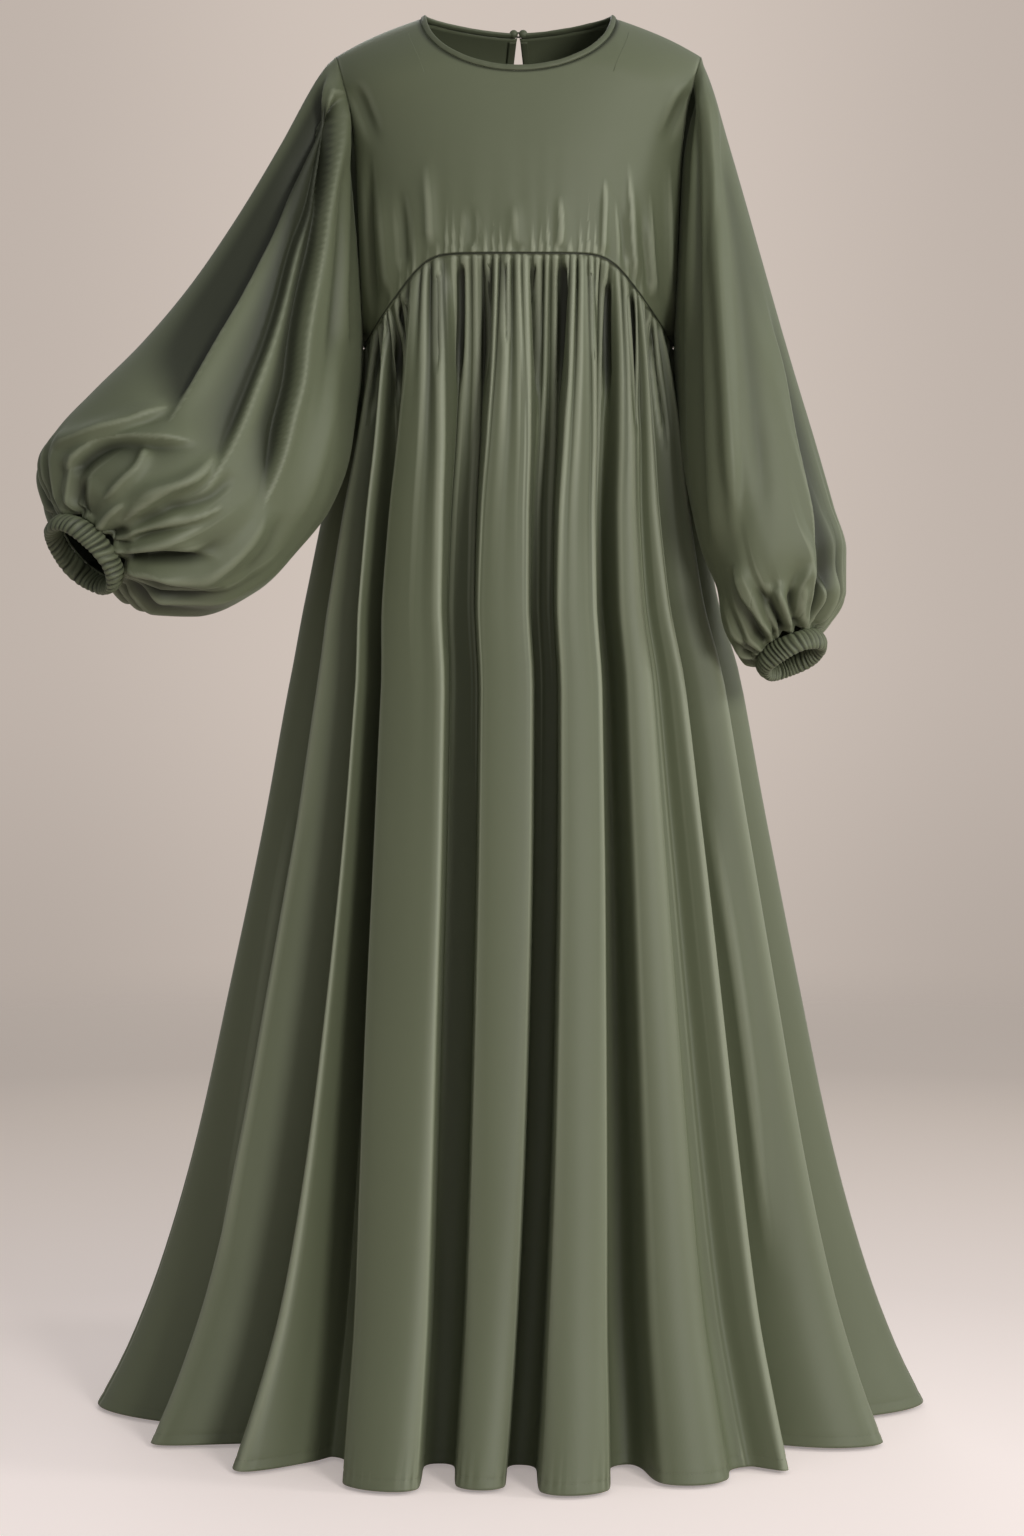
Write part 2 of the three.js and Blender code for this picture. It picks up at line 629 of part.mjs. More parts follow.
// A skirt panel has fine columns over its gathers and plainer ones where the folds hang
function skirtPanel(side, range) {
  const fine = foldSteps(range, (fold) => fold.gathers * GATHER_COLUMNS);
  const plain = foldSteps(range, () => FOLD_COLUMNS);
  const rowOf = (steps, down) => {
    const points = steps.map((fold) => skirtPoint(fold, side, down));
    const last = points.length - 1;
    const inFromEdge = (edge, neighbour) =>
      points[edge].addScaledVector(points[neighbour].clone().sub(points[edge]).normalize(), GAP / 2);
    inFromEdge(0, 1);
    inFromEdge(last, last - 1);
    return {
      shares: steps.map((fold) => (fold - range[0]) / (range[1] - range[0])),
      points,
      normals: steps.map((fold) => (down === 0 ? seamPlace(fold, side).normal : null)),
    };
  };
  const rows = [
    ...GATHERED_ROWS.map((down) => rowOf(fine, down)),
    ...HANGING_ROWS.map((down) => rowOf(plain, down)),
  ];
  rows.slice(1).forEach((row, k) => {
    const below = rows[Math.min(k + 2, rows.length - 1)];
    for (const end of [0, -1]) {
      const fall = below.points.at(end).clone().sub(rows[k].points.at(end));
      const sideways = Math.sign(row.points.at(end).x);
      row.normals[end === 0 ? 0 : row.normals.length - 1] = new THREE.Vector3(
        -fall.z * sideways,
        0,
        fall.x * sideways,
      ).normalize();
    }
  });
  return wall(rows, false).geometry;
}

// The sleeve's first row, from the shoulder tip down the front, under the arm and up the back, with one
// point between each two of the bodice's
function armholeLoop({ front, back }) {
  const between = (a, b, t) => ({
    angle: mix(a.angle, b.angle, t),
    point: a.point.clone().lerp(b.point, t),
    normal: a.normal.clone().lerp(b.normal, t),
    apart: a.apart.clone().lerp(b.apart, t).normalize(),
  });
  const [top, lowest] = [0, ARMHOLE_STEPS].map((k) => between(front[k], back[k], 0.5));
  const steps = (side) => [top, ...side.slice(1, -1), lowest];
  const halved = (places) =>
    places.slice(1).flatMap((place, k) => [places[k], between(places[k], place, 0.5)]);
  const down = halved(steps(front));
  const up = halved(steps(back).reverse()).map((place) => ({
    ...place,
    angle: 2 * Math.PI - place.angle,
  }));
  return [...down, ...up].map((place) => ({
    ...place,
    point: place.point.clone().addScaledVector(place.apart, GAP),
  }));
}

function sleeveWall(table, seam) {
  const sleeve = sleeveCurves(table);
  const loop = armholeLoop(seam);
  const angles = loop.map((place) => place.angle);
  const shareOf = (angle) => angle / (2 * Math.PI);
  const ends = Array.from(
    { length: SLEEVE_END_COLUMNS },
    (_, i) => (2 * Math.PI * i) / SLEEVE_END_COLUMNS,
  );
  const upper = SLEEVE_ROWS.map((along) => ({
    shares: angles.map(shareOf),
    points: loop.map(({ angle, point }) => {
      const correction = point.clone().sub(sleevePoint(sleeve, angle, 0));
      return sleevePoint(sleeve, angle, along).addScaledVector(
        correction,
        1 - ease(along / SLEEVE_BLEND),
      );
    }),
    normals: along === 0 ? loop.map((place) => place.normal) : undefined,
  }));
  const lower = SLEEVE_END_ROWS.map((along) => ({
    shares: ends.map(shareOf),
    points: ends.map((angle) => sleevePoint(sleeve, angle, along)),
    normals: along === 1 ? ends.map((angle) => sleeveRadial(sleeve, angle, along)) : undefined,
  }));
  return wall([...upper, ...lower], true).geometry;
}

// An elastic cuff: a fat ring whose casing puckers into ribs
function cuff(table) {
  const section = sleeveSection(sleeveCurves(table), 1);
  const radius = section.halfLength;
  const middle = section.middle
    .clone()
    .addScaledVector(section.outward, CUFF_HALF_HEIGHT + CUFF_GAP);
  const steps = CUFF_RIBS * 2;
  const rings = Array.from({ length: steps }, (_, i) => {
    const angle = (2 * Math.PI * i) / steps;
    const swell = i % 2 ? 1 : CUFF_VALLEY;
    const radial = section.upward
      .clone()
      .multiplyScalar(Math.cos(angle))
      .addScaledVector(section.frontward, Math.sin(angle));
    const profile = Array.from({ length: CUFF_SIDES }, (_, j) => (2 * Math.PI * (j + 0.5)) / CUFF_SIDES);
    return profile.map((turn) =>
      middle
        .clone()
        .addScaledVector(radial, radius + CUFF_HALF_THICKNESS * swell * Math.cos(turn))
        .addScaledVector(section.outward, CUFF_HALF_HEIGHT * Math.sin(turn)),
    );
  });
  return swept(rings, true);
}

// The neck binding carries the cloth on past the bodice's neck edge, turning up a little over the shoulders,
// and is open at the middle of the back
function neckBinding() {
  const quarter = BODICE_COLUMNS / 4;
  const edgeOf = (side) => {
    const { rows, normals } = panels[side];
    const outward = new THREE.Vector3(0, side === "front" ? -1 : 1, 1);
    return rows[0].points.slice(quarter, 3 * quarter + 1).map((point, i) => {
      const normal = normals[rows[0].first + quarter + i].clone().normalize();
      return { point: point.clone(), normal: normal.dot(outward) < 0 ? normal.negate() : normal };
    });
  };
  const [back, front] = [edgeOf("back"), edgeOf("front")];
  const shoulder = (a, b) => ({
    point: a.point.clone().lerp(b.point, 0.5),
    normal: a.normal.clone().add(b.normal).normalize(),
  });
  const middle = (back.length - 1) / 2;
  const open = (sideways) => {
    const next = back[middle + sideways];
    const share = BINDING_END / Math.abs(next.point.x);
    return { ...back[middle], point: back[middle].point.clone().lerp(next.point, share) };
  };
  const path = [
    open(1),
    ...back.slice(middle + 1, -1),
    shoulder(back[back.length - 1], front[front.length - 1]),
    ...front.slice(1, -1).reverse(),
    shoulder(front[0], back[0]),
    ...back.slice(1, middle),
    open(-1),
  ];
  const rings = path.map((place, i) => {
    const before = path[Math.max(i - 1, 0)].point;
    const after = path[Math.min(i + 1, path.length - 1)].point;
    const along = after.clone().sub(before).normalize();
    const up = new THREE.Vector3().crossVectors(along, place.normal);
    up.z += (BINDING_TILT * Math.abs(place.point.x)) / NECK_HALF_WIDTH;
    up.addScaledVector(along, -up.dot(along)).normalize();
    const out = new THREE.Vector3().crossVectors(along, up);
    const centre = place.point.clone().addScaledVector(up, BINDING_HEIGHT / 2 + BINDING_GAP);
    return Array.from({ length: BINDING_SIDES }, (_, j) => {
      const turn = (2 * Math.PI * (j + 0.5)) / BINDING_SIDES;
      return centre
        .clone()
        .addScaledVector(up, (BINDING_HEIGHT / 2) * Math.sin(turn))
        .addScaledVector(out, (BINDING_THICKNESS / 2) * Math.cos(turn));
    });
  });
  return swept(rings, false);
}

// The keyhole's half-width at a share of its length, like a drop hanging from the neck edge
function keyholeHalfWidth(share) {
  const drop = Math.sqrt(Math.max(0, 1 - share ** 4)) * Math.sin(Math.PI * mix(0.08, 0.62, share));
  return mix(KEYHOLE_TOP_HALF_WIDTH * Math.sqrt(1 - share ** 8), KEYHOLE_HALF_WIDTH * drop, share ** 0.4);
}

// The keyhole's outline, down one side and up the other, set out by a distance
function keyholeOutline(outset, top) {
  const shares = [0, 0.12, 0.25, 0.4, 0.55, 0.7, 0.82, 0.9, 0.96, 1];
  const sideOf = (sideways) =>
    shares.map((share) => [
      sideways * (keyholeHalfWidth(share) + outset),
      top - share * (KEYHOLE_LENGTH + outset),
    ]);
  const left = sideOf(1);
  return [...left, ...sideOf(-1).slice(0, -1).reverse()];
}

function solidOf(geometry) {
  const bare = geometry.clone();
  bare.deleteAttribute("normal");
  bare.deleteAttribute("uv");
  const merged = mergeVertices(bare, 1e-4);
  return new wasm.Manifold(
    new wasm.Mesh({
      numProp: 3,
      vertProperties: merged.attributes.position.array,
      triVerts: new Uint32Array(merged.index.array),
    }),
  );
}

function geometryOfSolid(solid) {
  const made = solid.getMesh();
  const geometry = new THREE.BufferGeometry();
  geometry.setAttribute("position", new THREE.BufferAttribute(new Float32Array(made.vertProperties), 3));
  geometry.setIndex(new THREE.BufferAttribute(new Uint32Array(made.triVerts), 1));
  return geometry;
}

function backWithKeyhole() {
  const outline = keyholeOutline(0, BACK_NECK_HEIGHT);
  const [first, last] = [outline[0], outline[outline.length - 1]];
  const [above, nearest, farthest] = [20, 10, 210];
  const shape = new THREE.Shape(
    [[first[0], first[1] + above], ...outline, [last[0], last[1] + above]].map(
      ([x, height]) => new THREE.Vector2(x, height),
    ),
  );
  const cutter = new THREE.ExtrudeGeometry(shape, { depth: farthest - nearest, bevelEnabled: false });
  cutter.rotateX(Math.PI / 2);
  cutter.translate(0, farthest, 0);
  return geometryOfSolid(solidOf(panels.back.geometry).subtract(solidOf(cutter)));
}

// The facing follows the keyhole on the inside of the back
function keyholeFacing() {
  const inner = keyholeOutline(1, BACK_NECK_HEIGHT - 2);
  const outer = keyholeOutline(1 + FACING_WIDTH, BACK_NECK_HEIGHT - 2);
  const at = ([x, height], depth) => {
    const slope = bodiceY(x, height + 0.5, "back") - bodiceY(x, height - 0.5, "back");
    const inwards = new THREE.Vector3(0, -1, slope).normalize();
    const onBack = new THREE.Vector3(x, bodiceY(x, height, "back"), height);
    return onBack.addScaledVector(inwards, CLOTH + GAP + depth);
  };
  const rings = inner.map((place, i) => [
    at(place, 0),
    at(outer[i], 0),
    at(outer[i], CLOTH),
    at(place, CLOTH),
  ]);
  return swept(rings, false);
}

// The fastening carries on from the binding's two ends: a covered button, the loop's knot, and the loop
// itself round the back of both
function fastening() {
  const edge = bodiceY(0, BACK_NECK_HEIGHT, "back");
  const knobAt = (sideways) => {
    const knob = new THREE.SphereGeometry(BUTTON_RADIUS, 14, 9);
    return knob.translate(sideways * BUTTON_OUT, edge - 2, BUTTON_HEIGHT);
  };
  const loop = new THREE.TorusGeometry(1, 0.9, 6, 28);
  const positions = loop.attributes.position;
  for (let i = 0; i < positions.count; i += 1) {
    const [x, y, depth] = [positions.getX(i), positions.getY(i), positions.getZ(i)];
    const turn = Math.atan2(y, x);
    const outwards = Math.hypot(x, y) - 1;
    positions.setXYZ(
      i,
      (BUTTON_OUT + LOOP_REACH + outwards) * Math.cos(turn),
      edge + LOOP_BEHIND - depth,
      BUTTON_HEIGHT + (LOOP_HALF_HEIGHT + outwards) * Math.sin(turn),
    );
  }
  return { button: knobAt(1), knot: knobAt(-1), loop };
}

const CLOTH_COLOUR = 0x70755d;
const material = (colour) =>
  new THREE.MeshStandardMaterial({ color: colour, roughness: 0.62, metalness: 0, side: THREE.DoubleSide });

const abaya = new THREE.Group();
const add = (name, geometry, colour = CLOTH_COLOUR) => {
  const mesh = new THREE.Mesh(geometry, material(colour));
  mesh.name = name;
  abaya.add(mesh);
};

add("bodice_front", panels.front.geometry);
add("bodice_back", backWithKeyhole());
add("skirt_front", skirtPanel("front", FRONT_PANEL));
add("skirt_back", skirtPanel("back", BACK_PANEL));
add("sleeve_right", sleeveWall(RIGHT_SLEEVE, armholes.right));
add("sleeve_left", sleeveWall(LEFT_SLEEVE, armholes.left));
add("cuff_right", cuff(RIGHT_SLEEVE));
add("cuff_left", cuff(LEFT_SLEEVE));
add("neck_binding", neckBinding());
add("keyhole_facing", keyholeFacing());
const closure = fastening();
add("back_button", closure.button);
add("loop_knot", closure.knot);
add("button_loop", closure.loop);

abaya.position.z = -NECK_POINT_HEIGHT;

export default abaya;
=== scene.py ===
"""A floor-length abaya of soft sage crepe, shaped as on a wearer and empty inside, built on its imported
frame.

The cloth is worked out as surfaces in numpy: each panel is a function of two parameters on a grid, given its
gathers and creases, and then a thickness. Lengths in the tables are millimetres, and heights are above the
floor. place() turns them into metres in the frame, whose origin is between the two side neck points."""
import math

import bpy
import numpy as np
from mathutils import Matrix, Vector


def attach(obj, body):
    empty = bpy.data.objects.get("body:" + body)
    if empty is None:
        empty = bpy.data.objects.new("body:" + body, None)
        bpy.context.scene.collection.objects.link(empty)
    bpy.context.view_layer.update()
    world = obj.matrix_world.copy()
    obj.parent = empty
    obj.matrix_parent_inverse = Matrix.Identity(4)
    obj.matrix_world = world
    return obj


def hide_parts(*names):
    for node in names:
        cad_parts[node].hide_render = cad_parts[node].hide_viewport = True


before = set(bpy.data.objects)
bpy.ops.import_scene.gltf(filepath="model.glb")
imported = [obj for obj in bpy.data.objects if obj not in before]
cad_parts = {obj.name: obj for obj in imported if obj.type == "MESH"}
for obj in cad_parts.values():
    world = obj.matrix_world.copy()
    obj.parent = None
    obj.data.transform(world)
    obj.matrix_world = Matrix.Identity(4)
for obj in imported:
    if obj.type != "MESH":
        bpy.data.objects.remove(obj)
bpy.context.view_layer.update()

bl_info = {
    "name": "Abaya",
    "version": (1, 0, 0),
    "blender": (4, 5, 0),
    "location": "3D View > Sidebar > Abaya",
    "description": "Builds a gathered abaya with balloon sleeves round its packed frame",
    "category": "Object",
}

MM = 0.001
NECK_POINT_HEIGHT = 1447  # the frame's origin lies between the two side neck points

# Neck and shoulders
NECK_HALF_WIDTH = 100
NECK_SIDE_HEIGHT = 1443
FRONT_NECK_HEIGHT = 1381
BACK_NECK_HEIGHT = 1430
SHOULDER_HALF_WIDTH = 187
SHOULDER_TIP_HEIGHT = 1405
SHOULDER_ROUNDING = 62
SHOULDER_LINE_RISE = 10

# Armholes and the high-waist seam, with the gap between two pieces
GAP = 0.3
UNDERARM_HEIGHT = 1122
UNDERARM_DOWN = 0.9557
ARMHOLE_HALF_DEPTH = 50
ARMHOLE_TURN_HEIGHT = 1230
SEAM_HALF_WIDTH = 160
SEAM_TOP_HEIGHT = 1198
SEAM_CORNER = 93
SEAM_SLOPE = 1.33
SEAM_CORNER_SOFTNESS = 9
NECK_FAN = 15
NECK_FAN_DOWN = 0.08

# Keyhole
KEYHOLE_LENGTH = 74
KEYHOLE_HALF_WIDTH = 8.0
KEYHOLE_TOP_HALF_WIDTH = 1.2

# Skirt
HEM_HEIGHT = 4
FOLD_OVERHANG = 0.9
RECESS_NARROWING = 0.5
FLANK_STEEPNESS = 2.0
FACE_FLATNESS = 0.86
CREST_LEAN = 0.19
HEM_ROUNDING = 0.45
SEAM_BLEND_DROP = 175
GATHER_DEPTH = (6, 6)  # the least, and how much more by chance
GATHER_LENGTH = (80, 260)
COLUMNS_PER_GATHER = 7
COLUMNS_PER_FOLD = 25
FRONT_PANEL = (0.5, 9.5)  # the folds it starts and ends at
BACK_PANEL = (9.5, 18.5)

# Sleeves: the share of their length over which the armhole's outline fades, and their gathers at the cuff
SLEEVE_BLEND = 0.2
SLEEVE_GATHER_DEPTH = (7, 9)
SLEEVE_GATHER_LENGTH = (0.05, 0.12)
EDGE_STEEPNESS = 5.0

# Painted shade and painted highlight on the cloth: the depth of fold and the radius of bend at which each
# counts in full, how much of the painted highlight the sleeves take, the widths of the painted dark lines at
# the seam and the neck, and the shares of the dark tones
PAINTED_SHADE_DEPTH = 12
CREST_RADIUS = 8
SLEEVE_HIGHLIGHT = 0.5
SEAM_SHADE = 1.0
NECK_SHADE = 0.009
FOLD_SHADE = 0.82
TRIM_SHADE = 0.82
DARKEST_PAINTED_SHADE = 0.12

# Fastening at the back of the neck
BINDING_END = 4.6
KNOB_ACROSS = 4.9
KNOB_HEIGHT = 1434.4
KNOB_AHEAD = 2.6

BODICE_DEPTHS = np.array([  # height, front, back
    (1107, 131, 101), (1200, 130, 104), (1250, 126, 106), (1300, 118, 103), (1350, 106, 95),
    (1400, 90, 80), (1447, 66, 62)], float)
ARMHOLE_WIDTHS = np.array([  # height, half-width
    (1107, 160), (1208, 162.5), (1300, 166), (1336, 170), (1377, 179), (1405, 187)], float)
SKIRT_OUTLINE = np.array([  # height, half-width, middle, front, back
    (0, 437, -8, 392, 352), (60, 406, -7, 366, 330), (150, 371, -6, 330, 302), (278, 334, -5, 297, 271),
    (448, 297, -4, 260, 236), (617, 262, -3, 228, 205), (763, 234, -3, 203, 180), (850, 212, -7, 190, 166),
    (930, 195, -6, 176, 152), (1020, 176, -2, 161, 137), (1107, 158, 0, 146, 122), (1198, 140, 0, 132, 106)],
    float)

# Each skirt fold from the wearer's right over the front and round the back: the angle of the recess that
# starts it at the seam, halfway down and at the hem, the recess's depth, the inset of its face, its gathers,
# and how square its face is, from a round wave at nought to a flat face between steep sides at one
FOLDS = np.array([
    (-108, -105, -104, 44, 0, 4, 0), (-74, -69.5, -65, 90, 14, 3, 0), (-60, -43, -44, 110, 8, 3, 0.1),
    (-55, -37.5, -25, 112, 2, 7, 1), (-17, -11.3, -8.8, 116, 22, 8, 1), (12, 6.7, 1.0, 116, 0, 7, 1),
    (35, 22.3, 15.2, 104, 4, 2, 0.5), (46, 37.5, 32.5, 46, 8, 3, 0.2), (54, 50, 41.5, 118, 4, 4, 0.2),
    (72, 73.5, 68, 104, 0, 4, 0), (108, 106, 105, 54, 14, 4, 0), (126, 125, 124, 78, 6, 4, 0.3),
    (144, 143, 141, 88, 0, 4, 0.3), (162, 161, 160, 96, 8, 4, 0.3), (180, 178, 176, 84, 0, 4, 0.3),
    (198, 197, 195, 92, 6, 4, 0.3), (216, 214, 212, 80, 0, 4, 0.3), (234, 234, 233, 66, 10, 4, 0)], float)
DROP_PROFILE = np.array([  # drop below the seam, share of the folds' depth, puff
    (0, 0.01, 0), (10, 0.05, 1), (30, 0.13, 3), (80, 0.25, 4), (160, 0.38, 3), (300, 0.54, 1), (420, 0.63, 0),
    (1198, 1, 0)], float)

# Each sleeve's sections: share of its length, top edge x and height, under edge x and height, how far
# forward its middle lies, half-depth, turn towards the front
RIGHT_SLEEVE = np.array([
    (0, -187, 1405, -160, 1122, 0, 50, 0), (0.07, -206, 1377, -161, 1083, 24, 68, 0),
    (0.19, -243, 1309, -166, 1043, 46, 82, 0), (0.34, -287, 1234, -173, 992, 70, 94, 5),
    (0.49, -334, 1163, -191, 943, 96, 104, 10), (0.63, -380, 1106, -224, 899, 120, 110, 15),
    (0.76, -425, 1058, -261, 860, 150, 108, 20), (0.87, -458, 1020, -312, 839, 175, 95, 24),
    (0.94, -474, 989, -355, 841, 190, 74, 27), (0.98, -467, 954, -378, 859, 200, 53, 29),
    (1, -448, 935, -391, 878, 206, 40, 29)], float)
LEFT_SLEEVE = np.array([
    (0, 187, 1405, 160, 1122, 0, 50, 0), (0.07, 197, 1376, 161, 1083, 22, 66, 0),
    (0.18, 212, 1320, 163, 1038, 42, 74, 0), (0.3, 230, 1254, 168, 992, 60, 80, 2),
    (0.435, 251, 1177, 176, 945, 76, 85, 5), (0.58, 276, 1089, 187, 899, 88, 88, 9),
    (0.715, 300, 1009, 204, 856, 95, 88, 13), (0.815, 318, 946, 208, 825, 102, 84, 16),
    (0.89, 331, 900, 216, 802, 106, 74, 18), (0.95, 331, 860, 226, 787, 108, 58, 20),
    (0.98, 318, 835, 237.5, 785, 108, 43, 22), (1, 300, 819, 243, 792, 108, 32, 22)], float)

# The front view: where its eye is, the camera's own place across, its tilt down in degrees, and its centre
# and its lens's length in pixels
EYE = np.array([-6.7, -3900.0, 980.0])
CAMERA_ACROSS = -6.68
VIEW_TILT = 4.526
VIEW_CENTRE = (512, 768)
VIEW_LENS = 3745

# The floor: its painted shade, darker with distance from its brightest place as the light would fall off, and
# its share of the backdrop's hue at some distances from there, where it gives way to the backdrop, and its
# own painted glow, which only the eye sees, in metres and shares
FLOOR_RADIUS = 6.0
FLOOR_BRIGHTEST = (0.0, -0.5, 0.0)
FLOOR_SHADES = ((0.0, 1.0, 0.0), (0.55, 1.0, 0.0), (1.15, 0.8, 0.3), (1.75, 0.69, 0.7), (2.35, 0.58, 1.0),
                (2.75, 0.5, 1.0), (3.6, 0.47, 1.0))
FLOOR_FADE = (2.8, 4.2)
FLOOR_GLOW = 0.35
# The backdrop's painted light as the eye sees it, brighter round the garment and darker towards the floor:
# each a range of the view's direction and the brightness that it maps to
BACKDROP_GLOW = (0.03, 0.14, 1.18, 0.98)
BACKDROP_DIM = (-0.14, -0.04, 0.87, 1.0)

NO_TRIANGLES = np.zeros((0, 3), int)


def on_shoulder_plane(rows):
    """Paths read off the front view, as x and height: each reading is a place across and down in its pixels,
    and the ray from the eye through it is followed to the upright plane through the shoulders."""
    tilt = np.radians(VIEW_TILT)
    measured = []
    for path, *rest in rows:
        across, up = ((np.array(path, float) - VIEW_CENTRE) * (1, -1) / VIEW_LENS).T
        reach = -EYE[1] / (np.cos(tilt) + up * np.sin(tilt))
        height = EYE[2] + (up * np.cos(tilt) - np.sin(tilt)) * reach
        measured.append((np.round(np.stack([CAMERA_ACROSS + across * reach, height], -1)).tolist(), *rest))
    return measured


# Creases, as the front view shows them: a path read off it, the width and the height of the bell across it (a
# valley's is negative), how far it leans, and the shares of its length over which it fades at its ends
BODICE_CREASES = on_shoulder_plane([
    ([(606, 172), (604, 210), (602, 256)], 4.0, 4.0, 0.3, (0.5, 0.15)),
    ([(628, 150), (630, 200), (634, 262), (640, 285)], 4.8, 4.7, 0.3, (0.5, 0.2)),
    ([(617, 190), (622, 230), (624, 268)], 3.2, -2.9, 0, (0.5, 0.2)),
    ([(648, 180), (650, 240), (655, 305)], 4.8, 4.3, -0.3, (0.5, 0.2)),
    ([(640, 210), (645, 260), (648, 295)], 3.2, -3.2, 0, (0.5, 0.2)),
    ([(668, 150), (669, 220), (670, 330)], 4.0, 3.6, 0, (0.4, 0.2)),
    ([(398, 180), (402, 230), (404, 272)], 5.6, -4.3, 0, (0.5, 0.2)),
    ([(378, 170), (383, 240), (388, 300)], 6.4, 3.6, 0, (0.5, 0.2)),
    ([(368, 140), (370, 230), (374, 315)], 4.8, -4.7, 0, (0.4, 0.2)),
    ([(424, 150), (428, 200), (430, 250)], 7.2, 3.2, 0, (0.5, 0.2)),
    ([(560, 190), (561, 225), (560, 250)], 4.8, 2.5, 0, (0.5, 0.2)),
    ([(470, 200), (472, 230), (472, 250)], 5.6, -2.3, 0, (0.5, 0.2)),
    ([(515, 195), (516, 225), (516, 250)], 6.4, 2.2, 0, (0.5, 0.2)),
    ([(352, 80), (362, 105), (380, 150)], 7.2, -4.5, 0, (0.3, 0.5)),
    ([(690, 85), (676, 115), (660, 150)], 6.4, -4.0, 0, (0.3, 0.5)),
])

BODICE_BACK_CREASES = on_shoulder_plane([
    ([(400, 150), (404, 210), (408, 270)], 9, 2.2, 0, (0.5, 0.2)),
    ([(440, 180), (442, 220), (444, 255)], 8, -1.8, 0, (0.5, 0.2)),
    ([(600, 150), (604, 210), (606, 262)], 9, 2.2, 0, (0.5, 0.2)),
    ([(640, 170), (642, 240), (646, 300)], 7, -2.0, 0, (0.5, 0.2)),
    ([(560, 180), (562, 220), (562, 252)], 8, 1.6, 0, (0.5, 0.2)),
    ([(480, 170), (482, 220), (484, 252)], 9, 1.8, 0, (0.5, 0.2)),
])

SKIRT_CREASES = on_shoulder_plane([
    ([(436, 272), (437, 320), (438, 380)], 3.1, -8.1, 0, (0.1, 0.5)),
    ([(461, 262), (461, 320), (458, 400)], 3.1, -8.1, 0, (0.1, 0.5)),
    ([(488, 262), (487, 330), (486, 420)], 3.1, -9.5, 0, (0.1, 0.5)),
    ([(505, 262), (506, 310), (507, 350)], 2.5, -5.4, 0, (0.1, 0.5)),
    ([(534, 262), (537, 330), (539, 420)], 3.1, -9.5, 0, (0.1, 0.5)),
    ([(563, 262), (563, 330), (563, 420)], 3.7, -9.5, 0, (0.1, 0.5)),
    ([(592, 272), (594, 320), (596, 370)], 2.5, -5.4, 0, (0.1, 0.5)),
    ([(606, 278), (606, 340), (607, 420)], 3.7, -8.1, 0, (0.1, 0.4)),
    ([(630, 292), (634, 360), (638, 440)], 3.1, -8.1, 0, (0.1, 0.4)),
    ([(650, 320), (658, 380), (668, 450)], 3.1, -6.8, 0, (0.1, 0.4)),
    ([(404, 300), (400, 350), (394, 420)], 3.7, -8.1, 0, (0.1, 0.4)),
    ([(386, 318), (376, 370), (366, 430)], 3.1, -6.8, 0, (0.1, 0.4)),
    ([(700, 760), (740, 1000), (775, 1300)], 9, 5, 0, (0.3, 0.3)),
    ([(300, 760), (262, 1000), (215, 1300)], 10, 5, 0, (0.3, 0.3)),
])

SKIRT_BACK_CREASES = on_shoulder_plane([
    ([(420, 280), (410, 420), (395, 640), (370, 900)], 8, 5, 0, (0.1, 0.4)),
    ([(470, 262), (468, 420), (462, 640)], 7, -6, 0, (0.1, 0.5)),
    ([(520, 262), (521, 420), (521, 700)], 8, 5, 0, (0.1, 0.5)),
    ([(570, 262), (574, 420), (580, 640)], 7, -6, 0, (0.1, 0.5)),
    ([(620, 280), (636, 420), (655, 640), (690, 900)], 8, 5, 0, (0.1, 0.4)),
])

RIGHT_SLEEVE_CREASES = on_shoulder_plane([
    ([(322, 92), (275, 180), (232, 255), (180, 335), (130, 395)], 24, -10, 0, (0.12, 0.35)),
    ([(345, 140), (340, 250), (332, 345), (318, 440)], 7, -7, 0, (0.2, 0.4)),
    ([(337, 92), (333, 130), (327, 165), (319, 215)], 6, -15, 0, (0.1, 0.35)),
    ([(341, 330), (330, 420), (306, 500), (270, 560)], 9, 5, 0, (0.2, 0.3)),
    ([(222, 446), (205, 468), (180, 484), (150, 492), (124, 505)], 8, 6, 0, (0.25, 0.3)),
    ([(235, 470), (214, 494), (186, 505), (156, 508)], 7, -5, 0, (0.25, 0.3)),
    ([(52, 520), (44, 498), (42, 475)], 5, -7, 0, (0.05, 0.5)),
    ([(68, 515), (62, 496), (60, 470)], 5, 6, 0, (0.05, 0.5)),
    ([(82, 518), (80, 492), (86, 470)], 5, -8, 0, (0.05, 0.5)),
    ([(98, 528), (112, 512), (130, 500)], 5, 6, 0, (0.05, 0.5)),
    ([(104, 540), (130, 530), (160, 515), (190, 500)], 6, -7, 0, (0.05, 0.5)),
    ([(112, 548), (150, 542), (190, 530), (225, 505)], 7, 6, 0, (0.05, 0.5)),
    ([(118, 560), (152, 560), (195, 556), (235, 538)], 6, -8, 0, (0.05, 0.5)),
    ([(120, 572), (160, 578), (205, 574), (245, 552)], 7, 6, 0, (0.05, 0.5)),
    ([(120, 582), (150, 594), (190, 600), (230, 594)], 6, -6, 0, (0.05, 0.5)),
    ([(270, 500), (250, 540), (215, 575), (180, 590)], 8, 6, 0, (0.3, 0.3)),
    ([(285, 510), (268, 550), (238, 584)], 7, -4, 0, (0.3, 0.3)),
])

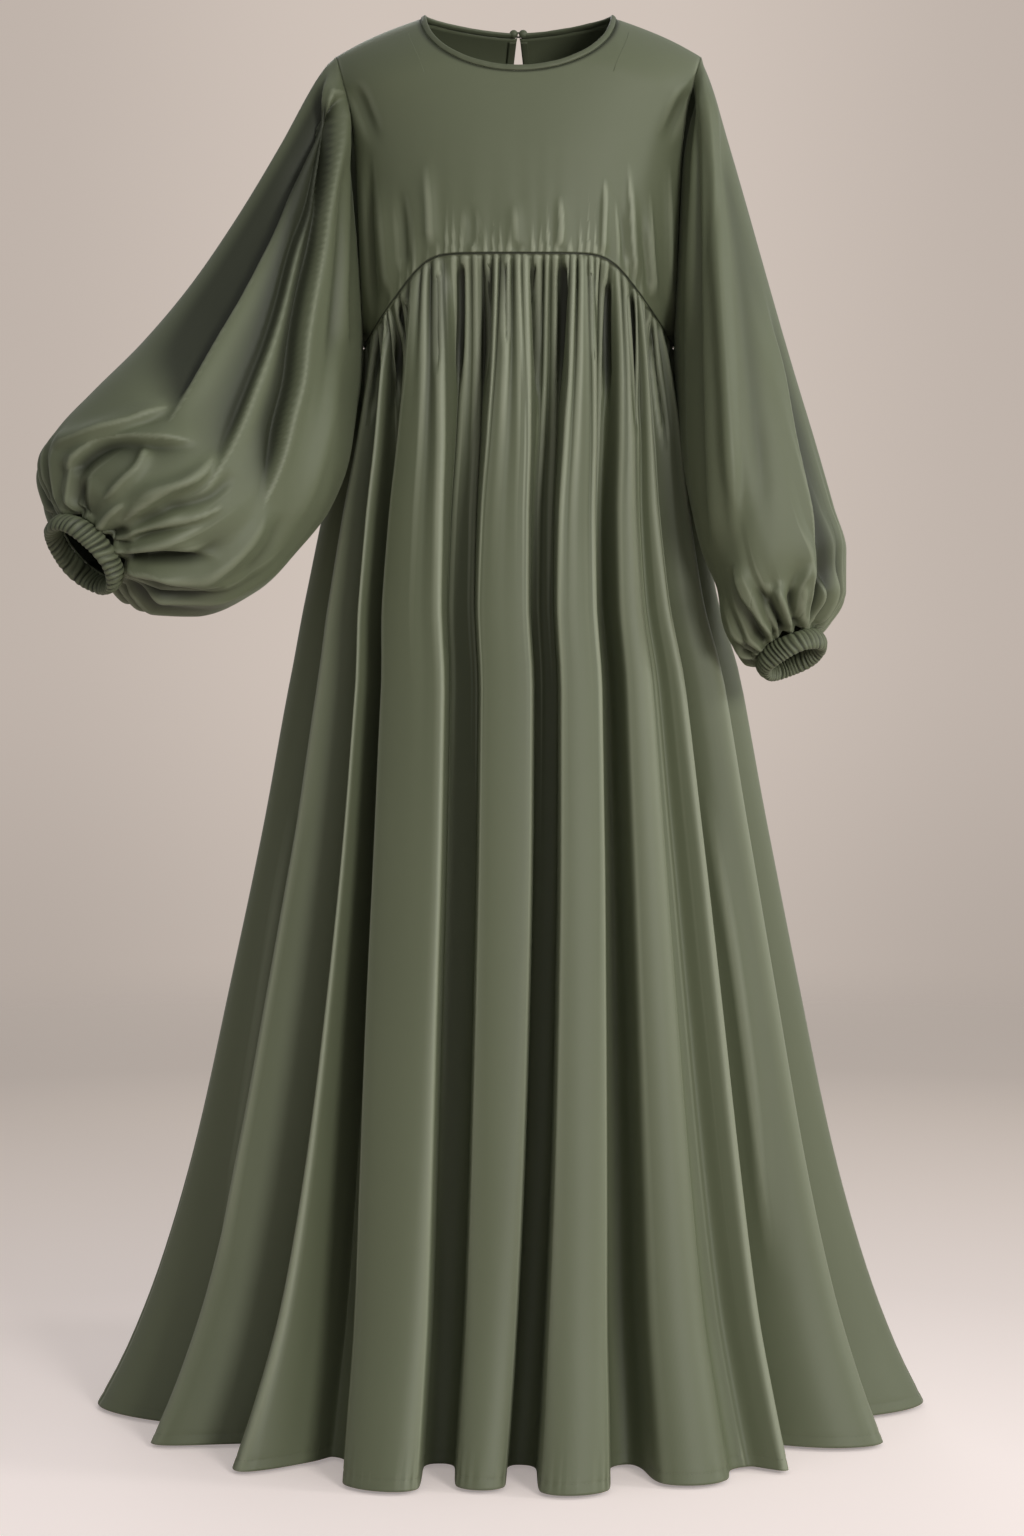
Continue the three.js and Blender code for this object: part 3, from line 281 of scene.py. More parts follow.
LEFT_SLEEVE_CREASES = on_shoulder_plane([
    ([(722, 120), (738, 230), (750, 350), (762, 480), (768, 560)], 12, -5, 0, (0.15, 0.3)),
    ([(716, 190), (724, 330), (730, 470), (738, 560)], 7, 5, 0, (0.2, 0.3)),
    ([(702, 72), (713, 138), (721, 247), (729, 361), (735, 475), (734, 556)], 7, 5.5, -0.3, (0.1, 0.25)),
    ([(701, 66), (706, 110), (714, 180), (719, 250)], 3.5, 3.5, -0.3, (0.1, 0.4)),
    ([(740, 150), (756, 230), (768, 330), (778, 430)], 12, -4, 0, (0.3, 0.4)),
    ([(768, 262), (790, 350), (812, 440), (828, 520)], 9, -6, 0, (0.25, 0.4)),
    ([(752, 585), (768, 602), (780, 622), (786, 640)], 5, -7, 0, (0.35, 0.1)),
    ([(762, 580), (778, 596), (788, 616), (793, 636)], 5, 5, 0, (0.35, 0.1)),
    ([(798, 585), (792, 600), (794, 618), (799, 634)], 5, -7, 0, (0.3, 0.1)),
    ([(808, 580), (804, 600), (805, 618), (807, 632)], 5, 5, 0, (0.35, 0.1)),
    ([(822, 560), (822, 590), (817, 612), (812, 630)], 5, -6, 0, (0.35, 0.1)),
    ([(838, 560), (836, 590), (828, 612), (818, 630)], 5, 4, 0, (0.35, 0.1)),
    ([(718, 615), (726, 634), (742, 650), (760, 660)], 5, -6, 0, (0.2, 0.1)),
    ([(716, 600), (722, 622), (740, 642), (764, 654)], 5, 5, 0, (0.3, 0.1)),
])

# Fold edges, where the cloth laps over itself: a path whose right-hand side lies lower, how far the edge
# stands up, how far the cloth beside it dips, how far that dip reaches, the edge's roundness, and its fades
RIGHT_SLEEVE_EDGES = on_shoulder_plane([
    ([(334, 66), (322, 95), (300, 155), (280, 215), (260, 260), (240, 300), (220, 335), (195, 380),
      (165, 432)], 5, 21, 30, 15, (0.1, 0.2)),
    ([(332, 84), (330, 120), (322, 160), (314, 205), (300, 252), (287, 300), (275, 340), (260, 380),
      (240, 430), (220, 470), (198, 503)], 5, 15, 30, 12, (0.05, 0.25)),
    ([(340, 98), (340, 130), (335, 165), (327, 210), (320, 255), (312, 300), (305, 340), (300, 380),
      (290, 420), (282, 455), (272, 490), (258, 522)], 6, 31, 20, 11, (0.05, 0.25)),
    ([(347, 352), (346, 300), (348, 250), (349, 190), (347, 140), (344, 98)], 3, 26, 16, 9, (0.1, 0.15)),
    ([(46, 447), (90, 435), (130, 421), (178, 400)], 6, 9, 16, 12, (0.15, 0.3)),
    ([(62, 472), (75, 455), (95, 441), (120, 435), (150, 437), (203, 441)], 7, 12, 15, 13, (0.12, 0.3)),
    ([(146, 441), (137, 465), (120, 482), (102, 502)], 6, 7, 9, 8, (0.2, 0.25)),
    ([(120, 522), (145, 505), (170, 491), (192, 482), (213, 467)], 7, 8, 12, 10, (0.2, 0.3)),
    ([(118, 536), (150, 528), (190, 520), (228, 503)], 6, 8, 10, 9, (0.15, 0.35)),
    ([(122, 550), (160, 548), (192, 553), (222, 556)], 6, 9, 10, 9, (0.12, 0.35)),
    ([(120, 568), (150, 572), (190, 582), (235, 584)], 6, 9, 9, 9, (0.12, 0.35)),
])

LEFT_SLEEVE_EDGES = on_shoulder_plane([
    ([(703, 78), (705, 151), (706, 262), (708, 373), (711, 484), (715, 572)], 4, 13, 8, 12, (0.08, 0.15)),
    ([(699, 80), (692, 180), (688, 300), (689, 420), (695, 520), (703, 580)], 4, 20, 13, 7, (0.06, 0.15)),
    ([(817, 605), (815, 557), (807, 507), (790, 429), (776, 346), (757, 262)], 6, 19, 22, 14, (0.1, 0.35)),
    ([(735, 560), (742, 592), (757, 614), (775, 638)], 6, 11, 11, 10, (0.25, 0.12)),
    ([(782, 578), (779, 600), (787, 628)], 5, 8, 8, 7, (0.3, 0.12)),
    ([(812, 560), (800, 590), (797, 625)], 5, 8, 8, 7, (0.3, 0.12)),
    ([(828, 575), (822, 600), (810, 626)], 5, 7, 7, 7, (0.3, 0.12)),
])


def mix(a, b, t):
    """The place a share of the way from one value to another."""
    return a + (b - a) * t


def ease(t):
    """Nought to one along a cubic that starts and ends level."""
    x = np.clip(t, 0, 1)
    return x * x * (3 - 2 * x)


def chance(number, seed=0.0):
    """A fixed pseudo-random share for each number: the fraction left of a large sine."""
    value = np.sin(np.asarray(number, float) * 12.9898 + seed * 78.233) * 43758.5453
    return value - np.floor(value)


def curve(table, column):
    """A smooth curve through one column of a table: on each span a cubic whose end slopes are the harmonic
    means of the neighbouring slopes, or nought where they change sign, so that it never overshoots."""
    xs, ys = table[:, 0], table[:, column]
    slopes = np.diff(ys) / np.diff(xs)
    before, after = slopes[:-1], slopes[1:]
    same = before * after > 0
    inner = np.where(same, 2 * before * after / np.where(same, before + after, 1), 0)
    tangents = np.concatenate([slopes[:1], inner, slopes[-1:]])

    def at(x):
        x = np.clip(x, xs[0], xs[-1])
        i = np.clip(np.searchsorted(xs, x, side="left") - 1, 0, len(xs) - 2)
        width = xs[i + 1] - xs[i]
        t = (x - xs[i]) / width
        t2, t3 = t * t, t * t * t
        return ((2 * t3 - 3 * t2 + 1) * ys[i] + (t3 - 2 * t2 + t) * width * tangents[i]
                + (3 * t2 - 2 * t3) * ys[i + 1] + (t3 - t2) * width * tangents[i + 1])

    return at


BODICE_DEPTH = {"front": curve(BODICE_DEPTHS, 1), "back": curve(BODICE_DEPTHS, 2)}
ARMHOLE_HALF_WIDTH = curve(ARMHOLE_WIDTHS, 1)
OUTLINE = {
    name: curve(SKIRT_OUTLINE, i + 1) for i, name in enumerate(("half_width", "middle", "front", "back"))}
FOLD_SHARE, PUFF = curve(DROP_PROFILE, 1), curve(DROP_PROFILE, 2)


def unit(vectors):
    """Vectors over their own lengths."""
    return vectors / np.maximum(np.linalg.norm(vectors, axis=-1, keepdims=True), 1e-12)


def grid_normals(points, closed=False):
    """The cross product of the differences along and down a grid, pointing the way that order gives."""
    if closed:
        across = np.roll(points, -1, axis=1) - np.roll(points, 1, axis=1)
    else:
        across = np.gradient(points, axis=1)
    down = np.gradient(points, axis=0)
    return unit(np.cross(across, down))


def front_view(points):
    """Where points appear, from the eye, on the upright plane through the shoulders: x and height."""
    ray = points - EYE
    return EYE[[0, 2]] + ray[..., [0, 2]] * (-EYE[1] / ray[..., 1])[..., None]


def smooth_path(path, steps=20):
    """A Catmull-Rom curve through a few points, as a fine polyline."""
    points = np.array(path, float)
    padded = np.vstack([2 * points[0] - points[1], points, 2 * points[-1] - points[-2]])
    t = np.linspace(0, 1, steps, endpoint=False)[:, None]
    parts = []
    for a, b, c, d in zip(padded, padded[1:], padded[2:], padded[3:]):
        parts.append(0.5 * (2 * b + (c - a) * t + (2 * a - 5 * b + 4 * c - d) * t**2
                            + (3 * b - a - 3 * c + d) * t**3))
    return np.vstack(parts + [points[-1:]])


def beside_line(flat, line, reach):
    """Of the points within reach of a polyline: which they are, their distances to it, positive on its left,
    and the share of its length at which they lie beside it."""
    near = np.flatnonzero(np.all((flat > line.min(0) - reach) & (flat < line.max(0) + reach), axis=1))
    steps = np.diff(line, axis=0)
    lengths = np.linalg.norm(steps, axis=1)
    starts = np.concatenate([[0], np.cumsum(lengths)])
    best, along = np.full(len(near), 1e9), np.zeros(len(near))
    for start, a, step, length in zip(starts, line, steps, lengths):
        rel = flat[near] - a
        t = np.clip(rel @ step / max(length**2, 1e-9), 0, 1)
        off = rel - t[:, None] * step
        distance = np.linalg.norm(off, axis=1)
        closer = distance < np.abs(best)
        side = np.where(step[0] * off[:, 1] - step[1] * off[:, 0] < 0, -1, 1)
        best[closer] = (distance * side)[closer]
        along[closer] = (start + t * length)[closer] / starts[-1]
    return near, best, along


def faded(along, fades):
    """One along the middle of a line, eased to nought over a share of it at each end."""
    return ease(along / max(fades[0], 1e-6)) * ease((1 - along) / max(fades[1], 1e-6))


def crease_relief(view, creases):
    """Heights of creases laid on a surface as seen in the front view: each is a bell across its line, whose
    two sides may have different widths, eased in and out along it."""
    flat = view.reshape(-1, 2)
    total = np.zeros(len(flat))
    for path, width, height, lean, fades in creases:
        near, off, along = beside_line(flat, smooth_path(path, 8), 3.2 * width * (1 + abs(lean)))
        bell = np.exp(-((off / (width * (1 + lean * np.sign(off)))) ** 2))
        total[near] += height * bell * faded(along, fades)
    return total.reshape(view.shape[:-1])


def edge_relief(view, edges):
    """Heights of fold edges: a round shoulder on the left of each path, and on its right a steep side down to
    a dip that rises again along an exponential curve."""
    flat = view.reshape(-1, 2)
    total = np.zeros(len(flat))
    for path, height, under, reach, width, fades in edges:
        near, off, along = beside_line(flat, smooth_path(path, 8), 3.5 * max(reach, width))
        shoulder = np.exp(-((off / width) ** 2))
        side = np.exp(-((off / EDGE_STEEPNESS) ** 2))
        dip = height * side - under * (1 - side) * np.exp(off / reach)
        total[near] += np.where(off > 0, height * shoulder, dip) * faded(along, fades)
    return total.reshape(view.shape[:-1])


def place(points):
    """Millimetres above the floor to metres in the frame."""
    return (points - np.array([0, 0, NECK_POINT_HEIGHT])) * MM


def boundary(faces, count):
    """The directed edges that only one face has."""
    edges = np.vstack([faces[:, [i, (i + 1) % 4]] for i in range(4)])
    keys = edges[:, 0].astype(np.int64) * count + edges[:, 1]
    reverse = edges[:, 1].astype(np.int64) * count + edges[:, 0]
    return edges[~np.isin(keys, reverse)]


def grid_faces(rows, columns, closed=False):
    """The four corners of each square of a grid whose points are numbered row by row."""
    last = columns if closed else columns - 1
    i, j = np.meshgrid(np.arange(rows - 1), np.arange(last), indexing="ij")
    k = (j + 1) % columns
    quad = [i * columns + j, i * columns + k, (i + 1) * columns + k, (i + 1) * columns + j]
    return np.stack(quad, -1).reshape(-1, 4)


def vertex_normals(points, faces):
    """At each point the sum of its faces' normals, each the cross product of the face's two diagonals."""
    a, b, c, d = (points[faces[:, i]] for i in range(4))
    face = np.cross(c - a, d - b)
    total = np.zeros_like(points)
    for i in range(4):
        np.add.at(total, faces[:, i], face)
    return unit(total)


def make_mesh(name, points, quads, uvs, marks, triangles=NO_TRIANGLES):
    """A smooth mesh in the frame from points in millimetres, with UVs in metres and named marks per point."""
    corners = np.concatenate([quads.ravel(), triangles.ravel()]).astype(np.int32)
    starts = np.concatenate([4 * np.arange(len(quads)), 4 * len(quads) + 3 * np.arange(len(triangles))])
    mesh = bpy.data.meshes.new(name)
    mesh.vertices.add(len(points))
    mesh.vertices.foreach_set("co", place(points).astype(np.float32).ravel())
    mesh.loops.add(len(corners))
    mesh.loops.foreach_set("vertex_index", corners)
    mesh.polygons.add(len(starts))
    mesh.polygons.foreach_set("loop_start", starts.astype(np.int32))
    mesh.update(calc_edges=True)
    mesh.validate()
    mesh.polygons.foreach_set("use_smooth", np.ones(len(mesh.polygons), bool))
    layer = mesh.uv_layers.new(name="cloth")
    layer.data.foreach_set("uv", uvs[corners].astype(np.float32).ravel())
    for mark, values in marks.items():
        mesh.attributes.new(mark, "FLOAT", "POINT").data.foreach_set("value", values.astype(np.float32))
    obj = bpy.data.objects.new(name, mesh)
    bpy.context.scene.collection.objects.link(obj)
    return obj


def crest_across(points, closed, outwards):
    """How sharply a grid bends outwards across its columns: the second derivative along its rows, turned
    outwards, where one stands for a bend of CREST_RADIUS. It marks where the material paints a highlight."""
    rows = np.pad(points, ((0, 0), (1, 1), (0, 0)), mode="wrap" if closed else "edge")
    steps = np.diff(rows, axis=1)
    lengths = np.maximum(np.linalg.norm(steps, axis=2, keepdims=True), 1e-6)
    bend = 2 * np.diff(steps / lengths, axis=1) / (lengths[:, :-1] + lengths[:, 1:])
    if not closed:
        bend[:, [0, -1]] = 0
    normals = grid_normals(points, closed) * outwards
    return np.clip(-np.einsum("ijk,ijk->ij", bend, normals) * CREST_RADIUS, 0, 1).ravel()


def cloth(name, points, faces, uvs, thickness, outwards, painted_highlight_mask=0.0, painted_shade_mask=0.0):
    """A wall of cloth: a surface moved half a thickness both ways along its normals, with a rim round each
    free edge. outwards is +1 where the grid's own normals point out of the garment."""
    normals = vertex_normals(points, faces) * outwards
    outer, inner = points + normals * thickness / 2, points - normals * thickness / 2
    shift = len(points)
    front = faces if outwards > 0 else faces[:, ::-1]
    edges = boundary(front, shift)
    a, b = edges[:, 0], edges[:, 1]
    rim = np.stack([b, a, a + shift, b + shift], -1)
    quads = np.vstack([front, front[:, ::-1] + shift, rim])
    flat = np.zeros(shift)
    # Two marks for the material: where it paints the colour lighter as a highlight on the crests, and where
    # it paints it darker as shade in the folds.
    marks = {"painted_highlight_mask": np.tile(flat + painted_highlight_mask, 2), "painted_shade_mask": np.tile(flat + painted_shade_mask, 2)}
    return make_mesh(name, np.vstack([outer, inner]), quads, np.vstack([uvs, uvs]), marks)


def arc_uvs(points, closed=False):
    """UVs in metres: the mean run of the rows across, and the mean run of the columns down."""
    p = points * MM
    across = np.linalg.norm(np.diff(p, axis=1), axis=2)
    u = np.concatenate([[0], np.cumsum(across.mean(0))])
    down = np.linalg.norm(np.diff(p, axis=0), axis=2)
    v = np.concatenate([[0], np.cumsum(down.mean(1))])
    uu, vv = np.meshgrid(u, v)
    return np.stack([uu, vv], -1).reshape(-1, 2)


def shoulder_height(x):
    """The shoulders' height: a parabola between the neck points, then a slope that steepens by a cube."""
    out = np.abs(x) - NECK_HALF_WIDTH
    share = out / (SHOULDER_HALF_WIDTH - NECK_HALF_WIDTH)
    drop = NECK_SIDE_HEIGHT - SHOULDER_TIP_HEIGHT
    across_neck = NECK_SIDE_HEIGHT + SHOULDER_LINE_RISE * (1 - (x / NECK_HALF_WIDTH) ** 2)
    return np.where(out <= 0, across_neck, NECK_SIDE_HEIGHT - drop * (0.8 * share + 0.2 * share**3))


def neck_height(x, side):
    """The neck edge's height: a half ellipse in front, and a shallow power curve behind."""
    share = np.clip(np.abs(x) / NECK_HALF_WIDTH, 0, 1)
    if side == "front":
        return NECK_SIDE_HEIGHT - (NECK_SIDE_HEIGHT - FRONT_NECK_HEIGHT) * np.sqrt(1 - share**2)
    return NECK_SIDE_HEIGHT - (NECK_SIDE_HEIGHT - BACK_NECK_HEIGHT) * (1 - share**1.6)


def seam_height(x):
    """The high-waist seam's height: level in the middle, then falling at a slope past a soft corner."""
    past = (np.abs(x) - SEAM_CORNER) / SEAM_CORNER_SOFTNESS
    return SEAM_TOP_HEIGHT - SEAM_SLOPE * SEAM_CORNER_SOFTNESS * np.logaddexp(0, past)


def armhole_depth(height):
    """How far the armhole's edge lies from the shoulder line: a quarter ellipse up from the underarm."""
    left = np.clip((ARMHOLE_TURN_HEIGHT - height) / (ARMHOLE_TURN_HEIGHT - UNDERARM_HEIGHT), 0, 1)
    return ARMHOLE_HALF_DEPTH * np.sqrt(1 - left**2)


def bodice_y(x, height, side):
    """How far the bodice lies in front of or behind the shoulder line: a quarter circle over the shoulder,
    then from the armhole's edge to the full depth along a power curve across."""
    below = np.clip((shoulder_height(x) - height) / SHOULDER_ROUNDING, 0, 1)
    rounding = np.sqrt(1 - (1 - below) ** 2)
    across = np.clip(np.abs(x) / ARMHOLE_HALF_WIDTH(height), 0, 1)
    bulge = (1 - across**2.6) ** 0.75
    edge = armhole_depth(height)
    depth = rounding * (edge + (BODICE_DEPTH[side](height) - edge) * bulge)
    return -depth if side == "front" else depth


def bodice_point(side, across, down):
    """Across runs from -1 at the right armhole to 1 at the left; down from the shoulders and neck at 0 to
    the high-waist seam at 1. Between the two edges a point is mixed straight, fanned out under the neck."""
    out = np.abs(across)
    sign = np.sign(across)
    neck_x = NECK_HALF_WIDTH * np.sin(np.pi * across)
    shoulder_x = sign * mix(NECK_HALF_WIDTH, SHOULDER_HALF_WIDTH, 2 * out - 1)
    top_x = np.where(out <= 0.5, neck_x, shoulder_x)
    top = np.where(out <= 0.5, neck_height(neck_x, side), shoulder_height(shoulder_x))
    bottom_x = SEAM_HALF_WIDTH * across
    height = mix(top, seam_height(bottom_x), down)
    edge_height = mix(SHOULDER_TIP_HEIGHT, seam_height(SEAM_HALF_WIDTH), down)
    straight = mix(SHOULDER_HALF_WIDTH, SEAM_HALF_WIDTH, down)
    fan = (down / NECK_FAN_DOWN) * np.exp(1 - down / NECK_FAN_DOWN)
    x = mix(top_x, bottom_x, down) * ARMHOLE_HALF_WIDTH(edge_height) / straight
    x = x + NECK_FAN * np.sin(np.pi * across) * fan
    shift = -GAP / 2 if side == "front" else GAP / 2
    return np.stack([x, bodice_y(x, height, side) + shift, height], -1)


def gather_count(fold):
    """How many gathers lie between the first fold's start and a place, with their widths a little uneven."""
    index = np.floor(fold).astype(int)
    gathers = np.concatenate([FOLDS[:, 5]] * 2)
    before = np.concatenate([[0], np.cumsum(gathers)])
    count = before[index] + (fold - index) * gathers[index]
    return count + 0.12 * np.sin(2.3 * count) + 0.05 * np.sin(5.1 * count + 1)


def gather_relief(count, drop):
    """Narrow valleys at each whole count between round ridges. Each valley has its own depth and length."""
    nearest = np.round(count)
    share = np.abs(count - nearest) * 2
    valley = (1 - share) ** 2 * (1 + 2 * share) ** 0.5
    depth = GATHER_DEPTH[0] + GATHER_DEPTH[1] * chance(nearest, 1)
    length = GATHER_LENGTH[0] + GATHER_LENGTH[1] * chance(nearest, 2) ** 1.8
    grown = 1 - np.exp(-(drop + 2) / 7)
    ditch = 1.6 * np.exp(-(((drop - 1.9) / 1.2) ** 2))
    return -depth * valley * grown * np.exp(-((drop / length) ** 1.4)) - ditch


def settled(drop):
    """How far the cloth has left the seam's hold at a drop below it: one less a falling exponential."""
    return 1 - np.exp(-((np.maximum(drop, 0) / SEAM_BLEND_DROP) ** 1.6))


def outline_depth(height, front):
    """Half the skirt's depth at a height, on the front or on the back."""
    return np.where(front, OUTLINE["front"](height), OUTLINE["back"](height))


def free_skirt_point(fold, seam_top, height):
    """The skirt away from the seam: folds whose faces touch the outline. Each recess runs straight from its
    place at the seam to its place at the hem, with a bow that carries it to its angle halfway down. A square
    fold steps quickly from recess to face, and there the way round the outline almost stops."""
    total = len(FOLDS)
    index = np.floor(fold).astype(int)
    within = fold - index
    turns = (index // total) * 360.0
    here, following = FOLDS[index % total], FOLDS[(index + 1) % total].copy()
    following[..., :3] += np.where((index + 1) % total == 0, 360.0, 0.0)[..., None]
    drop = seam_top - height
    omega = settled(drop)
    square = here[..., 6]
    wave = (FOLD_OVERHANG * square * np.sin(4 * np.pi * within) / (4 * np.pi)
            - RECESS_NARROWING * np.sin(2 * np.pi * within) / (2 * np.pi))
    across = within + omega * wave
    seam_angle, middle_angle, hem_angle = (
        np.radians(mix(here[..., i], following[..., i], across) + turns) for i in range(3))
    fall = (SEAM_TOP_HEIGHT - height) / SEAM_TOP_HEIGHT
    front = np.cos(middle_angle) >= 0

    def straight(share):
        """How far to the side and to the front the line from seam to hem is, with that share of it fallen."""
        hem_half_width = OUTLINE["half_width"](0.0)
        side = mix(SEAM_HALF_WIDTH * np.sin(seam_angle), hem_half_width * np.sin(hem_angle), share)
        ahead = mix(outline_depth(float(SEAM_TOP_HEIGHT), front) * np.cos(seam_angle),
                    outline_depth(0.0, front) * np.cos(hem_angle), share)
        at = SEAM_TOP_HEIGHT * (1 - share)
        return np.arctan2(side / OUTLINE["half_width"](at), ahead / outline_depth(at, front))

    half_width, half_depth = OUTLINE["half_width"](height), outline_depth(height, front)
    bow = np.mod(middle_angle - straight(0.5 + 0 * fall) + np.pi, 2 * np.pi) - np.pi
    angle = straight(fall) + bow * 4 * fall * (1 - fall)
    sideways = np.sin(angle) * ease(np.abs(np.sin(angle)) ** 1.5)
    outward = unit(np.stack([sideways / half_width, -np.cos(angle) / half_depth, 0 * angle], -1))
    lean = CREST_LEAN * (1 - square) * np.sin(2 * angle) * front
    rise = (1 - np.cos(2 * np.pi * (within - lean * np.sin(np.pi * within) ** 2))) / 2
    flatness = square * FACE_FLATNESS * (1 - HEM_ROUNDING * fall**3)
    ridge = mix(rise, ease((rise - 0.5) * FLANK_STEEPNESS + 0.5), flatness)
    recess = mix(here[..., 3], following[..., 3], ease(within))
    depth = mix(recess, here[..., 4], ridge) * FOLD_SHARE(drop)
    inward = depth - PUFF(drop) - gather_relief(gather_count(fold), drop)
    across, ahead = OUTLINE["middle"](height) + half_width * np.sin(angle), -half_depth * np.cos(angle)
    return np.stack([across, ahead, height], -1) - outward * inward[..., None]


def seam_place(fold, side):
    """Where a place along the folds meets the bodice: at its angle round the seam, a gap below it."""
    total = len(FOLDS)
    index = np.floor(fold).astype(int)
    within = fold - index
    lap = np.where((index + 1) % total == 0, 360.0, 0.0)
    angle = np.radians(mix(FOLDS[index % total, 0], FOLDS[(index + 1) % total, 0] + lap, within))
    x = SEAM_HALF_WIDTH * np.sin(angle)
    height = seam_height(x)
    shift = -GAP / 2 if side == "front" else GAP / 2
    gap = GAP * np.hypot(1, (seam_height(x + 0.5) - seam_height(x - 0.5)))
    return np.stack([x, bodice_y(x, height, side) + shift, height - gap], -1)


def skirt_grid(side, fold, down):
    """The skirt's points: its free shape, moved to meet the bodice at the seam. The move fades below."""
    top = seam_place(fold, side)
    correction = top - free_skirt_point(fold, top[..., 2], top[..., 2])
    height = mix(top[..., 2], HEM_HEIGHT, down)
    held = 1 - settled(down * (top[..., 2] - HEM_HEIGHT))
    return free_skirt_point(fold, top[..., 2], height) + correction * held[..., None]


def keyhole_half_width(share):
    """Half the keyhole's width at a share of its length: narrow at the top, a drop's outline below."""
    drop = np.sqrt(np.maximum(0, 1 - share**4)) * np.sin(np.pi * mix(0.11, 0.62, share))
    return mix(KEYHOLE_TOP_HALF_WIDTH * np.sqrt(1 - share**8), KEYHOLE_HALF_WIDTH * drop, share**0.3)


def sleeve_section(table, along):
    """A sleeve's middle, its directions up and to the front, its way out and its half sizes."""
    top_x, top_h, under_x, under_h, forward, half_depth, turn = (curve(table, i)(along) for i in range(1, 8))
    zero = np.zeros_like(top_x)
    top, under = np.stack([top_x, zero, top_h], -1), np.stack([under_x, zero, under_h], -1)
    upward = top - under
    half_length = np.linalg.norm(upward, axis=-1) / 2
    upward = unit(upward)
    sideways = np.sign(table[0, 1])
    in_plane = np.stack([upward[..., 2] * sideways, zero, -upward[..., 0] * sideways], -1)
    turn = np.radians(turn)[..., None]
    ahead = np.array([0.0, -1.0, 0.0])
    middle = (top + under) / 2 + forward[..., None] * ahead
    frontward = ahead * np.cos(turn) - in_plane * np.sin(turn)
    outward = in_plane * np.cos(turn) + ahead * np.sin(turn)
    return middle, upward, frontward, outward, half_length, half_depth


def sleeve_gathers(angle, along, count, seed):
    """Furrows that run up the sleeve from its cuff: narrow valleys, each with its own depth and length."""
    turn = angle / (2 * np.pi) * count
    turn = turn + 0.2 * np.sin(2 * np.pi * turn * 3 / count) + 0.18 * np.sin(2 * np.pi * turn * 7 / count)
    nearest = np.round(turn)
    share = np.abs(turn - nearest) * 2
    valley = (1 - share) ** 1.5 * (1 + 2 * share) ** 0.5
    which = np.mod(nearest, count)
    depth = SLEEVE_GATHER_DEPTH[0] + SLEEVE_GATHER_DEPTH[1] * chance(which, seed)
    length = SLEEVE_GATHER_LENGTH[0] + SLEEVE_GATHER_LENGTH[1] * chance(which, seed + 1) ** 1.5
    back = 1 - along
    near = ease(back / 0.03 + 0.15)
    return -depth * valley * near * np.exp(-((back / length) ** 1.3))


def sleeve_grid(table, angle, along):
    """The sleeve's rounded sections, met by the armhole's own outline at the top."""
    middle, upward, frontward, _, half_length, half_depth = sleeve_section(table, along)
    points = (middle + upward * (half_length * np.cos(angle))[..., None]
              + frontward * (half_depth * np.sin(angle))[..., None])
    sideways = np.sign(table[0, 1])
    down = UNDERARM_DOWN * (1 - np.cos(angle)) / 2
    front = bodice_point("front", sideways + 0 * angle, down)
    back = bodice_point("back", sideways + 0 * angle, down)
    hole = np.where((np.sin(angle) >= 0)[..., None], front, back) + np.array([sideways * GAP, 0, 0])
    start = sleeve_section(table, np.zeros_like(along))
    first = (start[0] + start[1] * (start[4] * np.cos(angle))[..., None]
             + start[2] * (start[5] * np.sin(angle))[..., None])
    return points + (hole - first) * (1 - ease(along / SLEEVE_BLEND))[..., None]


def facing(normals, sense):
    """How much a surface faces the front (sense -1) or the back (+1), nought at the outline."""
    return ease(sense * normals[..., 1] * 1.6)


def creased(points, closed, outwards, front=(), back=(), edges=(), extra=0.0):
    """A grid moved along its own normals by the creases and edges that the front shows and those of the
    back."""
    normals = grid_normals(points, closed) * outwards
    view = front_view(points)
    relief = (crease_relief(view, front) + edge_relief(view, edges)) * facing(normals, -1)
    relief = relief + crease_relief(view, back) * facing(normals, 1) + extra
    return points + normals * relief[..., None], relief


def painted_fold_shade(relief, depth=PAINTED_SHADE_DEPTH):
    """How deep in a fold the cloth lies, nought on the faces to one at that depth: the share of painted shade
    that the material puts there.
    """
    return np.clip(-relief / depth, 0, 1).ravel()


def seam_pucker(across, distance, pitch, depth, reach, seed):
    """Small puckers beside a row of stitching: a wave along it that dies away with the distance from it."""
    phase = across / pitch
    wave = np.sin(2 * np.pi * phase + 1.7 * np.sin(phase * 1.3 + seed))
    wave = wave * (0.5 + 0.5 * chance(np.floor(phase), seed))
    return depth * wave * np.exp(-distance / reach)


def bodice_front(name, thickness):
    """The front, with small puckers above its seam, its creases, painted shade in its folds, and a painted
    dark line of shade at the seam and the neck.
    """
    across, down = np.meshgrid(np.linspace(-1, 1, 171), np.concatenate([
        [0, 0.008, 0.016], np.linspace(0.025, 1, 108)]))
    points = bodice_point("front", across, down)
    above = points[..., 2] - seam_height(points[..., 0])
    pucker = (seam_pucker(points[..., 0], above, 9.5, 1.0, 13, 3)
              + seam_pucker(points[..., 0], above, 23, 0.9, 40, 5))
    points, relief = creased(points, False, -1, BODICE_CREASES, extra=pucker * ease(above / 3 + 0.2))
    # Painted shade: a dark line along the seam and along the neck edge, together with the painted shade in
    # the folds.
    seam = np.exp(-((above / SEAM_SHADE) ** 2)).ravel()
    neck = (np.exp(-((down / NECK_SHADE) ** 2)) * (np.abs(across) <= 0.5)).ravel()
    painted_shade_mask = np.maximum(painted_fold_shade(relief), np.maximum(seam, neck))
    return cloth(name, points.reshape(-1, 3), grid_faces(*across.shape), arc_uvs(points), thickness, -1,
                 crest_across(points, False, -1), painted_shade_mask)


